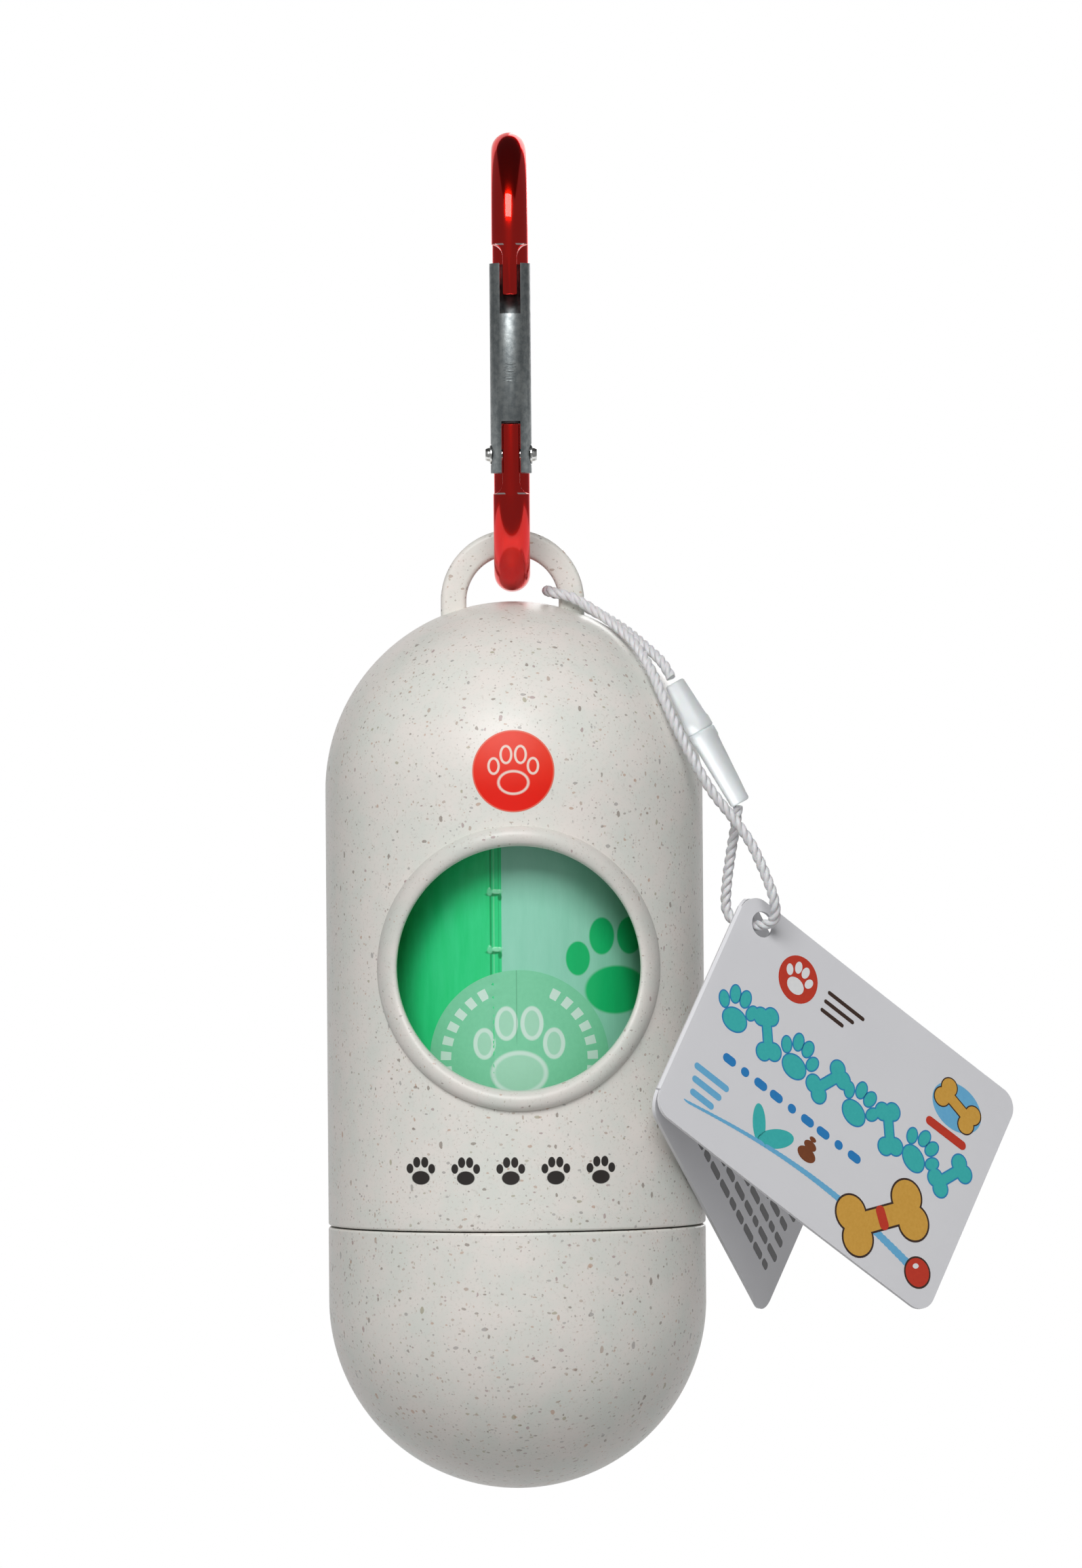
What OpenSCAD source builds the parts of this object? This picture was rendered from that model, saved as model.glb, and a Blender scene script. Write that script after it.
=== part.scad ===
// Capsule-shaped bag dispenser for dog walks, hanging from a small carabiner.
// Millimetres, +Z up, +X to the right, the window faces -Y.
// The origin is the inner crown of the carabiner's top bend, where the object hangs.

/* [Housing] */
// Outer diameter of the capsule
body_d = 40; // [38:0.5:43]
// Wall thickness of housing and cap
wall = 1.6; // [1.3:0.1:2]
// Length of the housing from the top of its dome to the seam
housing_len = 66; // [62:1:74]
// Play between the housing's lower rim and the cap
seam_gap = 0.15; // [0.1:0.05:0.4]

/* [Window] */
// Diameter of the opening in the housing's front
window_d = 25.5; // [22:0.5:26.5]
// Depth of the window's centre under the top of the dome
window_drop = 38.6; // [36.5:0.2:41]
// Sideways offset of the window's centre
window_side = 0.4; // [0:0.1:0.8]
// Width of the raised rim round the window
rim_w = 2.1; // [1.5:0.1:2.6]
// Height of the raised rim over the housing
rim_proud = 1; // [0.6:0.1:1.4]

/* [Eye] */
// Inner diameter of the moulded eye on the dome
eye_d = 9.8; // [9:0.1:11.5]
// Width of the eye's bar across the ring
eye_bar = 2.7; // [2.2:0.1:3.2]
// Depth of the eye from front to back
eye_t = 3; // [2.6:0.1:3.4]

/* [Cap] */
// Height of the cap from its lowest point to the seam
cap_h = 28; // [27:0.5:34]
// Height of the threaded collar over the seam
collar_h = 6; // [5.5:0.5:8]
// Thickness of the collar's wall
collar_wall = 1.4; // [1.1:0.1:1.6]
// Height that the screw thread climbs in one turn
thread_lead = 4; // [3.4:0.1:4.6]
// Height of each thread ridge over its wall
thread_depth = 0.6; // [0.5:0.05:0.7]

/* [Bags] */
// Play between the wound bags and the collar round them
roll_play = 1; // [0.8:0.1:2.5]
// Length of the wound bags
roll_len = 60; // [57:0.5:62]
// Outer diameter of the cardboard core
core_d = 15; // [13:0.5:17]
// Thickness of the core's wall
core_wall = 1; // [0.6:0.1:1.4]
// Step left by the loose outer edge of the film
film_lap = 0.25; // [0.2:0.05:0.35]
// Diameter of the paper sticker on the film
sticker_d = 18.7; // [14:0.1:20]
// Height of the sticker's centre over the bottom of the roll
sticker_up = 36.15; // [32:0.05:40]

/* [Carabiner] */
// Outer length of the carabiner
cara_len = 48.6; // [46:0.2:54]
// Outer width of the carabiner, from gate to spine
cara_w = 24; // [23:0.5:28]
// Diameter of the carabiner's rod
rod_d = 3.8; // [3.4:0.1:4]
// Radius of the top bends, at the rod's centre
top_bend_r = 9; // [8:0.1:9.3]
// Radius of the bottom bends, at the rod's centre
low_bend_r = 8; // [7:0.1:8.3]

/* [Gate] */
// Diameter of the rolled sheet gate
gate_d = 4.3; // [4.3:0.05:4.6]
// Length of the gate
gate_len = 22; // [21:0.2:23.5]
// Thickness of the gate's sheet
gate_wall = 0.5; // [0.4:0.05:0.55]
// Height of the gate's rivet over the carabiner's lowest point
rivet_up = 14.2; // [13.8:0.1:15]
// Height of the rivet over the gate's lower end
gate_tail = 1.95; // [1.7:0.05:2.3]
// Diameter of the rivet's shank
rivet_d = 1.2; // [1:0.05:1.3]
// Diameter of the rivet's heads
rivet_head_d = 2; // [1.8:0.05:2.3]
// Thickness of each rivet head
rivet_head_t = 0.7; // [0.5:0.05:0.9]
// Thickness of the flat tongue that the closed gate takes in at the top
nose_t = 1.5; // [1.2:0.1:1.8]
// Length of that tongue
nose_len = 4.9; // [4.2:0.1:5.2]
// Thickness of the flat tongue that carries the rivet
heel_t = 1.8; // [1.5:0.1:1.9]
// Number of turns in the gate's spring
spring_turns = 7; // [5:1:8]
// Thickness of the spring's wire
spring_wire = 0.4; // [0.3:0.05:0.45]

/* [Tag] */
// Length of one leaf of the folded card tag
tag_len = 40; // [34:0.5:46]
// Width of one leaf, along the fold
tag_w = 28; // [24:0.5:31]
// Thickness of the card
tag_t = 0.4; // [0.3:0.05:0.5]
// Angle at which the folded tag stands open
tag_open = 31; // [24:1:36]
// Diameter of the hole punched through both leaves
tag_hole_d = 2.8; // [2.6:0.1:3.2]

/* [String] */
// Thickness of the nylon string
string_d = 1.15; // [1:0.05:1.2]
// Length of the string's snap lock
lock_len = 14.5; // [13:0.1:14.6]
// Diameter of the string's snap lock
lock_d = 3; // [2.6:0.1:3.2]

/* [Hidden] */
$fn = 64;

// Clearances
fit_gap = 0.1; // running play of a sliding or turning fit
pin_play = 0.05; // radial play of a pin in its bore
rest_gap = 0.3; // play under the roll, where it rests in the cap's bowl
through = 1; // how far a cut runs past the face that it opens

// Carabiner: heights of the rod's centre and of the gate's parts
rod_r = rod_d / 2;
half_w = cara_w / 2 - rod_r;
top_z = rod_r;
low_z = rod_d - cara_len + rod_r;
rivet_z = low_z - rod_r + rivet_up;
gate_low_z = rivet_z - gate_tail;
gate_top_z = gate_low_z + gate_len;
shoulder_play = 1.6;
nose_z = gate_top_z + shoulder_play;
heel_z = gate_low_z - shoulder_play - 0.2;
gate_in_r = gate_d / 2 - gate_wall;
nose_front = -rod_r;
nose_back = gate_in_r - 1.5 * fit_gap;
heel_r = gate_in_r - fit_gap / 2;
heel_up = 3.1;

// Slots in the gate: the top one clears the nose, the low one clears the heel
nose_slot_w = nose_t + 7 * fit_gap;
nose_slot_deep = 2; // how far the slot runs on below the nose
nose_slot_z = nose_z - nose_len - nose_slot_deep;
heel_slot_w = heel_t + 2 * fit_gap;
heel_slot_z = rivet_z + heel_up + 3.5 * fit_gap;
rivet_flat_x = gate_d / 2 - 0.15;

// Plunger and spring inside the gate, above the heel
plunger_r = gate_in_r - fit_gap;
plunger_z = rivet_z + heel_up + 1.5 * fit_gap;
plunger_len = 2.5;
plunger_stub_r = 0.7;
plunger_stub_len = 1.4;
spring_low_z = plunger_z + plunger_len;
spring_len = 7;
spring_r = plunger_r - spring_wire / 2 - fit_gap;
stop_z = spring_low_z + spring_len;
stop_t = 0.6;

// Eye and capsule: the eye hangs on the rod, and everything below follows it
hang_gap = 0.05;
eye_r = eye_d / 2;
eye_z = low_z + rod_r + hang_gap - eye_r;
dome_top_z = eye_z;
body_r = body_d / 2;
inner_r = body_r - wall;
dome_z = dome_top_z - body_r;
seam_z = dome_top_z - housing_len;
cap_top_z = seam_z - seam_gap;
cap_low_z = seam_z - cap_h;
bowl_z = cap_low_z + body_r;
window_z = dome_top_z - window_drop;
eye_leg = 1.75;

// Collar and thread
thread_gap = 0.4;
collar_r = inner_r - thread_depth - thread_gap;
collar_in_r = collar_r - collar_wall;
collar_foot = 2.2;
thread_root = 0.3;
thread_foot_w = 1.2;
thread_crest_w = 0.6;
thread_turns = 1.25;
thread_bare = 3.4; // length of the collar that the housing's ridge leaves free
thread_steps = 30;
thread_low_z = cap_top_z + 0.9;

// Roll: its lower rim rests in the bowl
roll_r = collar_in_r - roll_play;
roll_d = 2 * roll_r;
roll_z = bowl_z - sqrt(inner_r * inner_r - roll_r * roll_r) + rest_gap;
core_r = core_d / 2;
film_in_r = core_r + fit_gap;
film_edge_x = -2.5;
sticker_t = 0.1;
sticker_x = 0.4;

// Folded tag: its fold runs down and towards the front, the leaves run away from it
tag_bearing = -21; // where round the capsule the tag hangs
tag_out = 6.0; // from the capsule's side to the upper end of the fold
tag_forward = 0.2;
tag_drop = -30.8; // upper end of the fold under the dome's top
tag_corner = [
    body_r * cos(tag_bearing) + tag_out,
    body_r * sin(tag_bearing) + tag_forward,
    dome_top_z + tag_drop
];
fold_dir = unit([-0.377, -0.471, -0.797]);
leaf_dir = unit(cross(unit([-0.594, 0.783, -0.182]), fold_dir) * -1);
leaf_normal = cross(leaf_dir, fold_dir);
tag_round = 2.2;
fold_bulge = 0.15; // the rolled fold is a little thicker than the card
fold_over = 0.1; // and stands a hair past the card's edges
hole_in = 3; // from the fold to the punched hole
hole_down = 2.4; // from the upper edge to the punched hole

// Snap lock: it lies against the dome's right shoulder, beside the string
lock_bearing = unit([17, -7.5, 11.2]);
lock_dir = unit([0.4745, 0, -0.88]);
lock_seat = 0.2; // play between the lock and the dome
lock_top = [0, 0, dome_z] + (body_r + lock_d / 2 + lock_seat) * lock_bearing;
lock_split = 0.4; // share of the lock's length that the plug's head takes
lock_neck_r = 0.75;
lock_neck_len = 4;
lock_round = 0.6;

// Route of the string, as offsets from the middle of the eye:
// from the lock's top behind the eye's leg, through the eye, down past the lock,
// through the holes of the tag and up into the lock's lower end
string_route = [
    [16.7, -7.4, -8.3], [15.7, -6.6, -6.6], [14.1, -4.6, -5.0], [12.0, -2.0, -3.2],
    [10.1, 0.5, -1.9], [8.3, 2.3, -0.9], [6.3, 2.6, 0.3], [4.3, 2.0, 0.9],
    [3.7, 0, 1.1], [4.3, -2.0, 0.9], [6.3, -2.6, 0.3], [8.4, -3.0, -0.9],
    [10.6, -4.3, -2.5], [12.8, -6.4, -4.6], [14.4, -8.7, -7.2], [15.7, -10.0, -10.2],
    [17.2, -10.6, -13.6], [18.9, -10.6, -17.0], [20.9, -10.3, -20.4], [23.1, -9.9, -23.2],
    [24.9, -9.7, -25.8], [26.2, -9.8, -28.6], [27.2, -9.8, -31.4], [27.4, -8.7, -33.6],
    [26.4, -7.4, -34.4], [24.8, -6.1, -34.5], [23.4, -4.9, -34.2], [22.4, -4.5, -32.8],
    [22.4, -4.9, -30.3], [22.8, -5.7, -27.2], [23.3, -6.6, -24.2], [23.6, -7.3, -21.9]
];
string_sides = 8;

// Vector helpers
function unit(v) = v / norm(v);
function step_dir(pts, i) =
    unit(pts[min(i + 1, len(pts) - 1)] - pts[max(i - 1, 0)]);
function side_of(dir, ref) = unit(ref - (ref * dir) * dir);
// A side vector carried from ring to ring, so that a swept tube doesn't twist
function carried(pts, i, ref) =
    i == 0 ? side_of(step_dir(pts, 0), ref) : side_of(step_dir(pts, i), carried(pts, i - 1, ref));

// Faces of a swept tube: rings of `sides` points, closed with a fan at each end
function tube_faces(rings, sides) = [
    for (i = [0 : rings - 2], j = [0 : sides - 1])
        let (a = i * sides + j, b = i * sides + (j + 1) % sides)
            each [[a, b, b + sides], [a, b + sides, a + sides]],
    for (j = [1 : sides - 2]) [0, j + 1, j],
    for (j = [1 : sides - 2])
        let (last = (rings - 1) * sides) [last, last + j, last + j + 1]
];

// Round tube through a list of points
module swept_tube(pts, r, sides) {
    rings = len(pts);
    ref = [0.2, 0.9, 0.4];
    points = [
        for (i = [0 : rings - 1])
            let (dir = step_dir(pts, i), u = carried(pts, i, ref), w = cross(dir, u))
                for (j = [0 : sides - 1])
                    let (a = 360 * j / sides) pts[i] + r * (cos(a) * u + sin(a) * w)
    ];
    polyhedron(points, tube_faces(rings, sides));
}

// Helical ridge with a sloping flank: foot and crest radius may lie either way round
module thread_ridge(foot_r, crest_r, low, turns) {
    rings = thread_steps + 1;
    foot = thread_foot_w / 2;
    crest = thread_crest_w / 2;
    outline = [[foot_r, -foot], [crest_r, -crest], [crest_r, crest], [foot_r, foot]];
    section = crest_r > foot_r ? outline : [for (i = [3 : -1 : 0]) outline[i]];
    points = [
        for (i = [0 : thread_steps], p = section)
            let (a = 360 * turns * i / thread_steps)
                [p[0] * cos(a), p[0] * sin(a), low + p[1] + thread_lead * a / 360]
    ];
    polyhedron(points, tube_faces(rings, len(section)));
}

// Lays children drawn in the XY plane into the carabiner's YZ plane
module in_side_plane() {
    rotate([90, 0, 90]) children();
}

// Quarter bend of the rod, centred on [y, z], starting at angle a
module rod_bend(y, z, r, a) {
    in_side_plane()
        translate([y, z, 0])
            rotate([0, 0, a])
                rotate_extrude(angle = 90, $fn = 96)
                    translate([r, 0]) circle(r = rod_r, $fn = 48);
}

// Straight upright stretch of the rod
module rod_up(y, z0, z1) {
    translate([0, y, z0]) cylinder(r = rod_r, h = z1 - z0, $fn = 48);
}

// Straight level stretch of the rod
module rod_level(z, y0, y1) {
    translate([0, y0, z]) rotate([-90, 0, 0]) cylinder(r = rod_r, h = y1 - y0, $fn = 48);
}

// Bar along X at the gate's rivet
module rivet_bar(r, half_len) {
    translate([-half_len, -half_w, rivet_z])
        rotate([0, 90, 0]) cylinder(r = r, h = 2 * half_len, $fn = 32);
}

module carabiner_frame() {
    top_y = half_w - top_bend_r;
    low_y = half_w - low_bend_r;
    top_c = top_z - top_bend_r;
    low_c = low_z + low_bend_r;
    color("crimson") {
        // Spine, bends and level stretches
        rod_up(half_w, low_c, top_c);
        rod_bend(top_y, top_c, top_bend_r, 0);
        rod_bend(-top_y, top_c, top_bend_r, 90);
        rod_level(top_z, -top_y, top_y);
        rod_bend(low_y, low_c, low_bend_r, 270);
        rod_bend(-low_y, low_c, low_bend_r, 180);
        rod_level(low_z, -low_y, low_y);
        // Nose: short rod, then a flat tongue that the closed gate takes in
        rod_up(-half_w, nose_z, top_c);
        translate([0, -half_w, nose_z - nose_len])
            intersection() {
                cylinder(r = rod_r, h = nose_len, $fn = 48);
                translate([-nose_t / 2, nose_front, -through])
                    cube([nose_t, nose_back - nose_front, nose_len + 2 * through]);
            }
        // Heel: short rod, then a flat tongue with the rivet's bore
        rod_up(-half_w, low_c, heel_z);
        difference() {
            translate([0, -half_w, heel_z])
                intersection() {
                    cylinder(r = heel_r, h = rivet_z + heel_up - heel_z, $fn = 48);
                    translate([-heel_t / 2, -heel_r, -through])
                        cube([heel_t, 2 * heel_r, gate_len]);
                }
            rivet_bar(rivet_d / 2 + pin_play, gate_d);
        }
    }
}

module carabiner_gate() {
    color("silver")
        difference() {
            union() {
                difference() {
                    translate([0, -half_w, gate_low_z])
                        cylinder(r = gate_d / 2, h = gate_len, $fn = 64);
                    translate([0, -half_w, gate_low_z - through])
                        cylinder(r = gate_in_r, h = gate_len + 2 * through, $fn = 64);
                }
                // Web that the spring pushes against
                translate([0, -half_w, stop_z])
                    cylinder(r = gate_in_r + gate_wall / 2, h = stop_t, $fn = 64);
            }
            // Slot for the nose, in the outer wall
            translate([-nose_slot_w / 2, -half_w - gate_d, nose_slot_z])
                cube([nose_slot_w, gate_d, gate_top_z - nose_slot_z + through]);
            // Slot for the heel, through both walls
            translate([-heel_slot_w / 2, -half_w - gate_d, gate_low_z - through])
                cube([heel_slot_w, 2 * gate_d, heel_slot_z - gate_low_z + through]);
            // Flats and bore for the rivet
            for (side = [-1, 1])
                translate([side * (rivet_flat_x + gate_d / 2), -half_w, rivet_z])
                    cube([gate_d, gate_d, rivet_head_d + 4 * fit_gap], center = true);
            rivet_bar(rivet_d / 2, gate_d);
        }
}

module gate_rivet() {
    dome_r = (pow(rivet_head_d / 2, 2) + pow(rivet_head_t, 2)) / (2 * rivet_head_t);
    color("gainsboro") {
        rivet_bar(rivet_d / 2, rivet_flat_x);
        for (side = [-1, 1])
            translate([side * rivet_flat_x, -half_w, rivet_z])
                rotate([0, 90 * side, 0])
                    intersection() {
                        cylinder(r = rivet_head_d / 2, h = rivet_head_t + through, $fn = 32);
                        translate([0, 0, rivet_head_t - dome_r]) sphere(r = dome_r, $fn = 48);
                    }
    }
}

module gate_plunger() {
    color("darkgray")
        translate([0, -half_w, plunger_z]) {
            cylinder(r = plunger_r, h = plunger_len, $fn = 48);
            cylinder(r = plunger_stub_r, h = plunger_len + plunger_stub_len, $fn = 32);
        }
}

module gate_spring() {
    steps_per_turn = 12;
    steps = spring_turns * steps_per_turn;
    low = spring_low_z + spring_wire / 2 + pin_play;
    rise = spring_len - spring_wire - 2 * pin_play;
    coil = [
        for (i = [0 : steps])
            let (a = 360 * i / steps_per_turn)
                [spring_r * cos(a), spring_r * sin(a) - half_w, low + rise * i / steps]
    ];
    color("dimgray") swept_tube(coil, spring_wire / 2, 6);
}

// Outside of the housing without eye and rim
module housing_outer(r) {
    translate([0, 0, seam_z]) cylinder(r = r, h = dome_z - seam_z, $fn = 128);
    translate([0, 0, dome_z]) sphere(r = r, $fn = 128);
}

// Round bar through the window, from the axis to in front of the housing
module window_bar(d) {
    translate([window_side, 0, window_z])
        rotate([90, 0, 0]) cylinder(d = d, h = body_r + 2 * rim_proud, $fn = 96);
}

module eye_ring() {
    translate([0, 0, eye_z])
        rotate([90, 0, 0])
            rotate_extrude(angle = 180, $fn = 96)
                translate([eye_r, -eye_t / 2]) square([eye_bar, eye_t]);
    for (side = [-1, 1])
        translate([side * (eye_r + eye_bar / 2), 0, eye_z - eye_leg / 2])
            cube([eye_bar, eye_t, eye_leg], center = true);
}

module housing() {
    color("linen") {
        eye_ring();
        difference() {
            union() {
                intersection() {
                    housing_outer(body_r);
                    translate([0, 0, seam_z])
                        cylinder(r = body_d, h = 2 * housing_len);
                }
                // Raised rim, following the curve of the wall
                intersection() {
                    window_bar(window_d + 2 * rim_w);
                    translate([0, 0, seam_z])
                        cylinder(r = body_r + rim_proud, h = dome_z - seam_z + body_r, $fn = 128);
                }
            }
            // Inside, open at the seam
            translate([0, 0, seam_z - through])
                cylinder(r = inner_r, h = dome_z - seam_z + through, $fn = 128);
            translate([0, 0, dome_z]) sphere(r = inner_r, $fn = 128);
            window_bar(window_d);
        }
        thread_ridge(
            inner_r + thread_root, inner_r - thread_depth,
            thread_low_z + thread_lead / 2, (collar_h - thread_bare) / thread_lead
        );
    }
}

// Lower half of a ball, its flat side up at z = 0
module half_ball(r) {
    rotate_extrude($fn = 128)
        intersection() {
            circle(r = r, $fn = 128);
            translate([0, -r]) square([r, r]);
        }
}

module cap() {
    color("antiquewhite") {
        difference() {
            union() {
                translate([0, 0, bowl_z]) {
                    half_ball(body_r);
                    cylinder(r = body_r, h = cap_top_z - bowl_z, $fn = 128);
                }
                translate([0, 0, cap_top_z - collar_foot])
                    cylinder(r = collar_r, h = collar_foot + collar_h, $fn = 128);
            }
            translate([0, 0, bowl_z]) {
                half_ball(inner_r);
                cylinder(r = inner_r, h = cap_top_z - collar_foot - bowl_z, $fn = 128);
                cylinder(r = collar_in_r, h = cap_top_z - bowl_z + collar_h + through, $fn = 128);
            }
        }
        thread_ridge(collar_r - thread_root, collar_r + thread_depth, thread_low_z, thread_turns);
    }
}

module roll_core() {
    color("tan")
        translate([0, 0, roll_z])
            difference() {
                cylinder(r = core_r, h = roll_len, $fn = 96);
                translate([0, 0, -through])
                    cylinder(r = core_r - core_wall, h = roll_len + 2 * through, $fn = 96);
            }
}

// Outside of the wound film; the outermost layer ends in an upright edge in the window
module film_outside() {
    translate([0, 0, roll_z])
        union() {
            cylinder(r = roll_r - film_lap, h = roll_len, $fn = 128);
            difference() {
                cylinder(r = roll_r, h = roll_len, $fn = 128);
                translate([film_edge_x, -roll_d, -through])
                    cube([roll_d, roll_d, roll_len + 2 * through]);
            }
        }
}

module bag_roll() {
    color("mediumseagreen")
        difference() {
            film_outside();
            translate([0, 0, roll_z - through])
                cylinder(r = film_in_r, h = roll_len + 2 * through, $fn = 96);
        }
}

// The sticker climbs onto the outermost layer at the film's edge
module roll_sticker() {
    color("honeydew")
        difference() {
            intersection() {
                translate([0, 0, roll_z])
                    union() {
                        cylinder(r = roll_r - film_lap + sticker_t, h = roll_len, $fn = 128);
                        intersection() {
                            cylinder(r = roll_r + sticker_t, h = roll_len, $fn = 128);
                            translate([film_edge_x + sticker_t - roll_d, -roll_d, -through])
                                cube([roll_d, roll_d, roll_len + 2 * through]);
                        }
                    }
                translate([sticker_x, 0, roll_z + sticker_up])
                    rotate([90, 0, 0]) cylinder(d = sticker_d, h = roll_d, $fn = 64);
            }
            film_outside();
        }
}

// One leaf, drawn flat: the fold along Y, the leaf along X, rounded outer corners
module leaf_outline() {
    square([tag_len - tag_round, tag_w]);
    square([tag_len, 2 * tag_round]);
    translate([0, tag_round]) square([tag_len, tag_w - 2 * tag_round]);
    for (y = [tag_round, tag_w - tag_round])
        translate([tag_len - tag_round, y]) circle(r = tag_round, $fn = 32);
}

// Puts a drawing of one leaf at the fold, with its length along dir
module on_leaf(dir) {
    n = cross(dir, fold_dir);
    multmatrix([
        [dir[0], fold_dir[0], n[0], tag_corner[0]],
        [dir[1], fold_dir[1], n[1], tag_corner[1]],
        [dir[2], fold_dir[2], n[2], tag_corner[2]]
    ])
        children();
}

module tag_leaf(dir, low) {
    on_leaf(dir)
        translate([0, 0, low])
            linear_extrude(tag_t)
                difference() {
                    leaf_outline();
                    translate([hole_in, hole_down]) circle(d = tag_hole_d, $fn = 32);
                }
}

module tag_card() {
    back_dir = cos(tag_open) * leaf_dir + sin(tag_open) * leaf_normal;
    color("white") {
        tag_leaf(leaf_dir, -tag_t);
        tag_leaf(back_dir, 0);
        // Rolled fold that joins the leaves
        on_leaf(leaf_dir)
            translate([0, -fold_over, 0])
                rotate([-90, 0, 0])
                    cylinder(r = tag_t + fold_bulge, h = tag_w + 2 * fold_over, $fn = 32);
    }
}

module tag_string() {
    route = [for (p = string_route) p + [0, 0, eye_z]];
    color("whitesmoke") swept_tube(route, string_d / 2, string_sides);
}

// Places children that are drawn along +Z on the lock's axis
module on_lock() {
    w = lock_dir;
    u = side_of(w, [0, 1, 0]);
    v = cross(w, u);
    multmatrix([
        [u[0], v[0], w[0], lock_top[0]],
        [u[1], v[1], w[1], lock_top[1]],
        [u[2], v[2], w[2], lock_top[2]]
    ])
        children();
}

// Barrel from z0 to z1 with rounded ends
module barrel(r, z0, z1) {
    rotate_extrude($fn = 48) {
        translate([0, z0]) square([r - lock_round, z1 - z0]);
        translate([0, z0 + lock_round]) square([r, z1 - z0 - 2 * lock_round]);
        translate([r - lock_round, z0 + lock_round]) circle(r = lock_round, $fn = 24);
        translate([r - lock_round, z1 - lock_round]) circle(r = lock_round, $fn = 24);
    }
}

module string_lock_plug() {
    head = lock_len * lock_split;
    color("aliceblue")
        on_lock() {
            barrel(lock_d / 2, 0, head);
            cylinder(r = lock_neck_r, h = head + lock_neck_len, $fn = 32);
        }
}

module string_lock_socket() {
    head = lock_len * lock_split;
    color("azure")
        on_lock()
            difference() {
                barrel(lock_d / 2, head, lock_len);
                translate([0, 0, head - through])
                    cylinder(r = lock_neck_r, h = lock_neck_len + through, $fn = 32);
            }
}

housing();
cap();
carabiner_frame();
carabiner_gate();
gate_rivet();
gate_plunger();
gate_spring();
roll_core();
bag_roll();
roll_sticker();
tag_card();
tag_string();
string_lock_socket();
string_lock_plug();
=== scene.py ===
# %% [markdown]
# # A capsule dispenser for dog waste bags, hung from a small carabiner
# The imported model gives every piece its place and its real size. This lesson
# dresses it: speckled straw plastic, red anodised metal, green film, nylon string
# and a printed card. Every piece is modelled in metres, where the frame says.

# %% Load the frame
import math

import bmesh
import bpy
from mathutils import Matrix, Vector, noise


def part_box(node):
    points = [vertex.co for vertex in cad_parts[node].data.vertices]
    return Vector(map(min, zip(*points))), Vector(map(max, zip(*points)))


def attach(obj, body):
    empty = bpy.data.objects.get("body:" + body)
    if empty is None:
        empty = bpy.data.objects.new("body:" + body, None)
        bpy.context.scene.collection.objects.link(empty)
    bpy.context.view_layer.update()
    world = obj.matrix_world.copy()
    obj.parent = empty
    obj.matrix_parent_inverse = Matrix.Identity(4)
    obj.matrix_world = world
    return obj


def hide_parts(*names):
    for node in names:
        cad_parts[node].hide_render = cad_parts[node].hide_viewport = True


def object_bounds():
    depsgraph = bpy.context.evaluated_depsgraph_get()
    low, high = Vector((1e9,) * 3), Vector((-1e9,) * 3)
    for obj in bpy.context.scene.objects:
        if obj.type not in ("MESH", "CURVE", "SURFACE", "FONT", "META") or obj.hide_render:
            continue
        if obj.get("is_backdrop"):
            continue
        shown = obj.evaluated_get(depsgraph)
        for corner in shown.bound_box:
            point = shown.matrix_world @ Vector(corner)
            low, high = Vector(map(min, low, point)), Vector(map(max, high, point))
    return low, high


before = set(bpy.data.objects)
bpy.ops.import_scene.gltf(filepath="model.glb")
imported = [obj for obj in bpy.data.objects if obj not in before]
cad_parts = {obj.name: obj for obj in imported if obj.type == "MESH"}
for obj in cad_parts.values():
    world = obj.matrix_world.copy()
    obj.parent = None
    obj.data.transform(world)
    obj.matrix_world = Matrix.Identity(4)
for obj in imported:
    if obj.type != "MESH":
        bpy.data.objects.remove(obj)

MM = 0.001
cad_low, cad_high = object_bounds()

# %% [markdown]
# ## Sizes that everything shares
# The capsule is a dome on a straight wall, closed by a bowl. Its sizes are read
# from the boxes of the CAD nodes, so nothing is fitted by eye. What a box can't
# tell, such as the width of the eye's bar, is written here once.

# %% Sizes of the capsule
cap_low, cap_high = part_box("cap")
housing_low, housing_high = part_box("housing")
roll_low, roll_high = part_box("bag_roll")
gate_low, gate_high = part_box("carabiner_gate")
frame_low, frame_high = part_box("carabiner_frame")
WALL = 1.6 * MM
BODY_R = cap_high.x
INNER_R = BODY_R - WALL
EYE_R = 4.9 * MM
EYE_BAR = 2.7 * MM
EYE_T = 3 * MM
EYE_Z = housing_high.z - EYE_R - EYE_BAR
DOME_Z = EYE_Z - BODY_R
SEAM_Z = housing_low.z
SEAM_GAP = 0.15 * MM
BOWL_Z = cap_low.z + BODY_R
WINDOW_R = 12.75 * MM
WINDOW_X = 0.4 * MM
WINDOW_Z = EYE_Z - 38.6 * MM
RIM_W = 2.1 * MM
print("capsule %.1f mm across, %.1f mm long" % (2 * BODY_R / MM, (EYE_Z - cap_low.z) / MM))

# %% [markdown]
# ## Camera
# The photograph was taken from about a metre away with a long lens, level with the
# middle of the picture. One pixel of it covers 0.0719 mm at the capsule's axis,
# which gives the lens once the distance is chosen. The object leans by half a degree
# there, so the camera is rolled by as much.

# %% Camera
PHOTO_W, PHOTO_H = 1596, 2312
MM_PER_PIXEL = 0.07194
AXIS_PIXEL = 757
LOWEST_PIXEL = 2193
CAMERA_AWAY = 1.09
SENSOR = 36
LEAN = math.radians(0.43)
SWAY_PIXELS = -1


def photo_point(px, py, y=0):
    """Place in the frame that a pixel of the photograph shows, at depth y."""
    return Vector((
        (px - AXIS_PIXEL) * MM_PER_PIXEL * MM, y,
        cap_low.z + (LOWEST_PIXEL - py) * MM_PER_PIXEL * MM,
    ))


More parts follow.
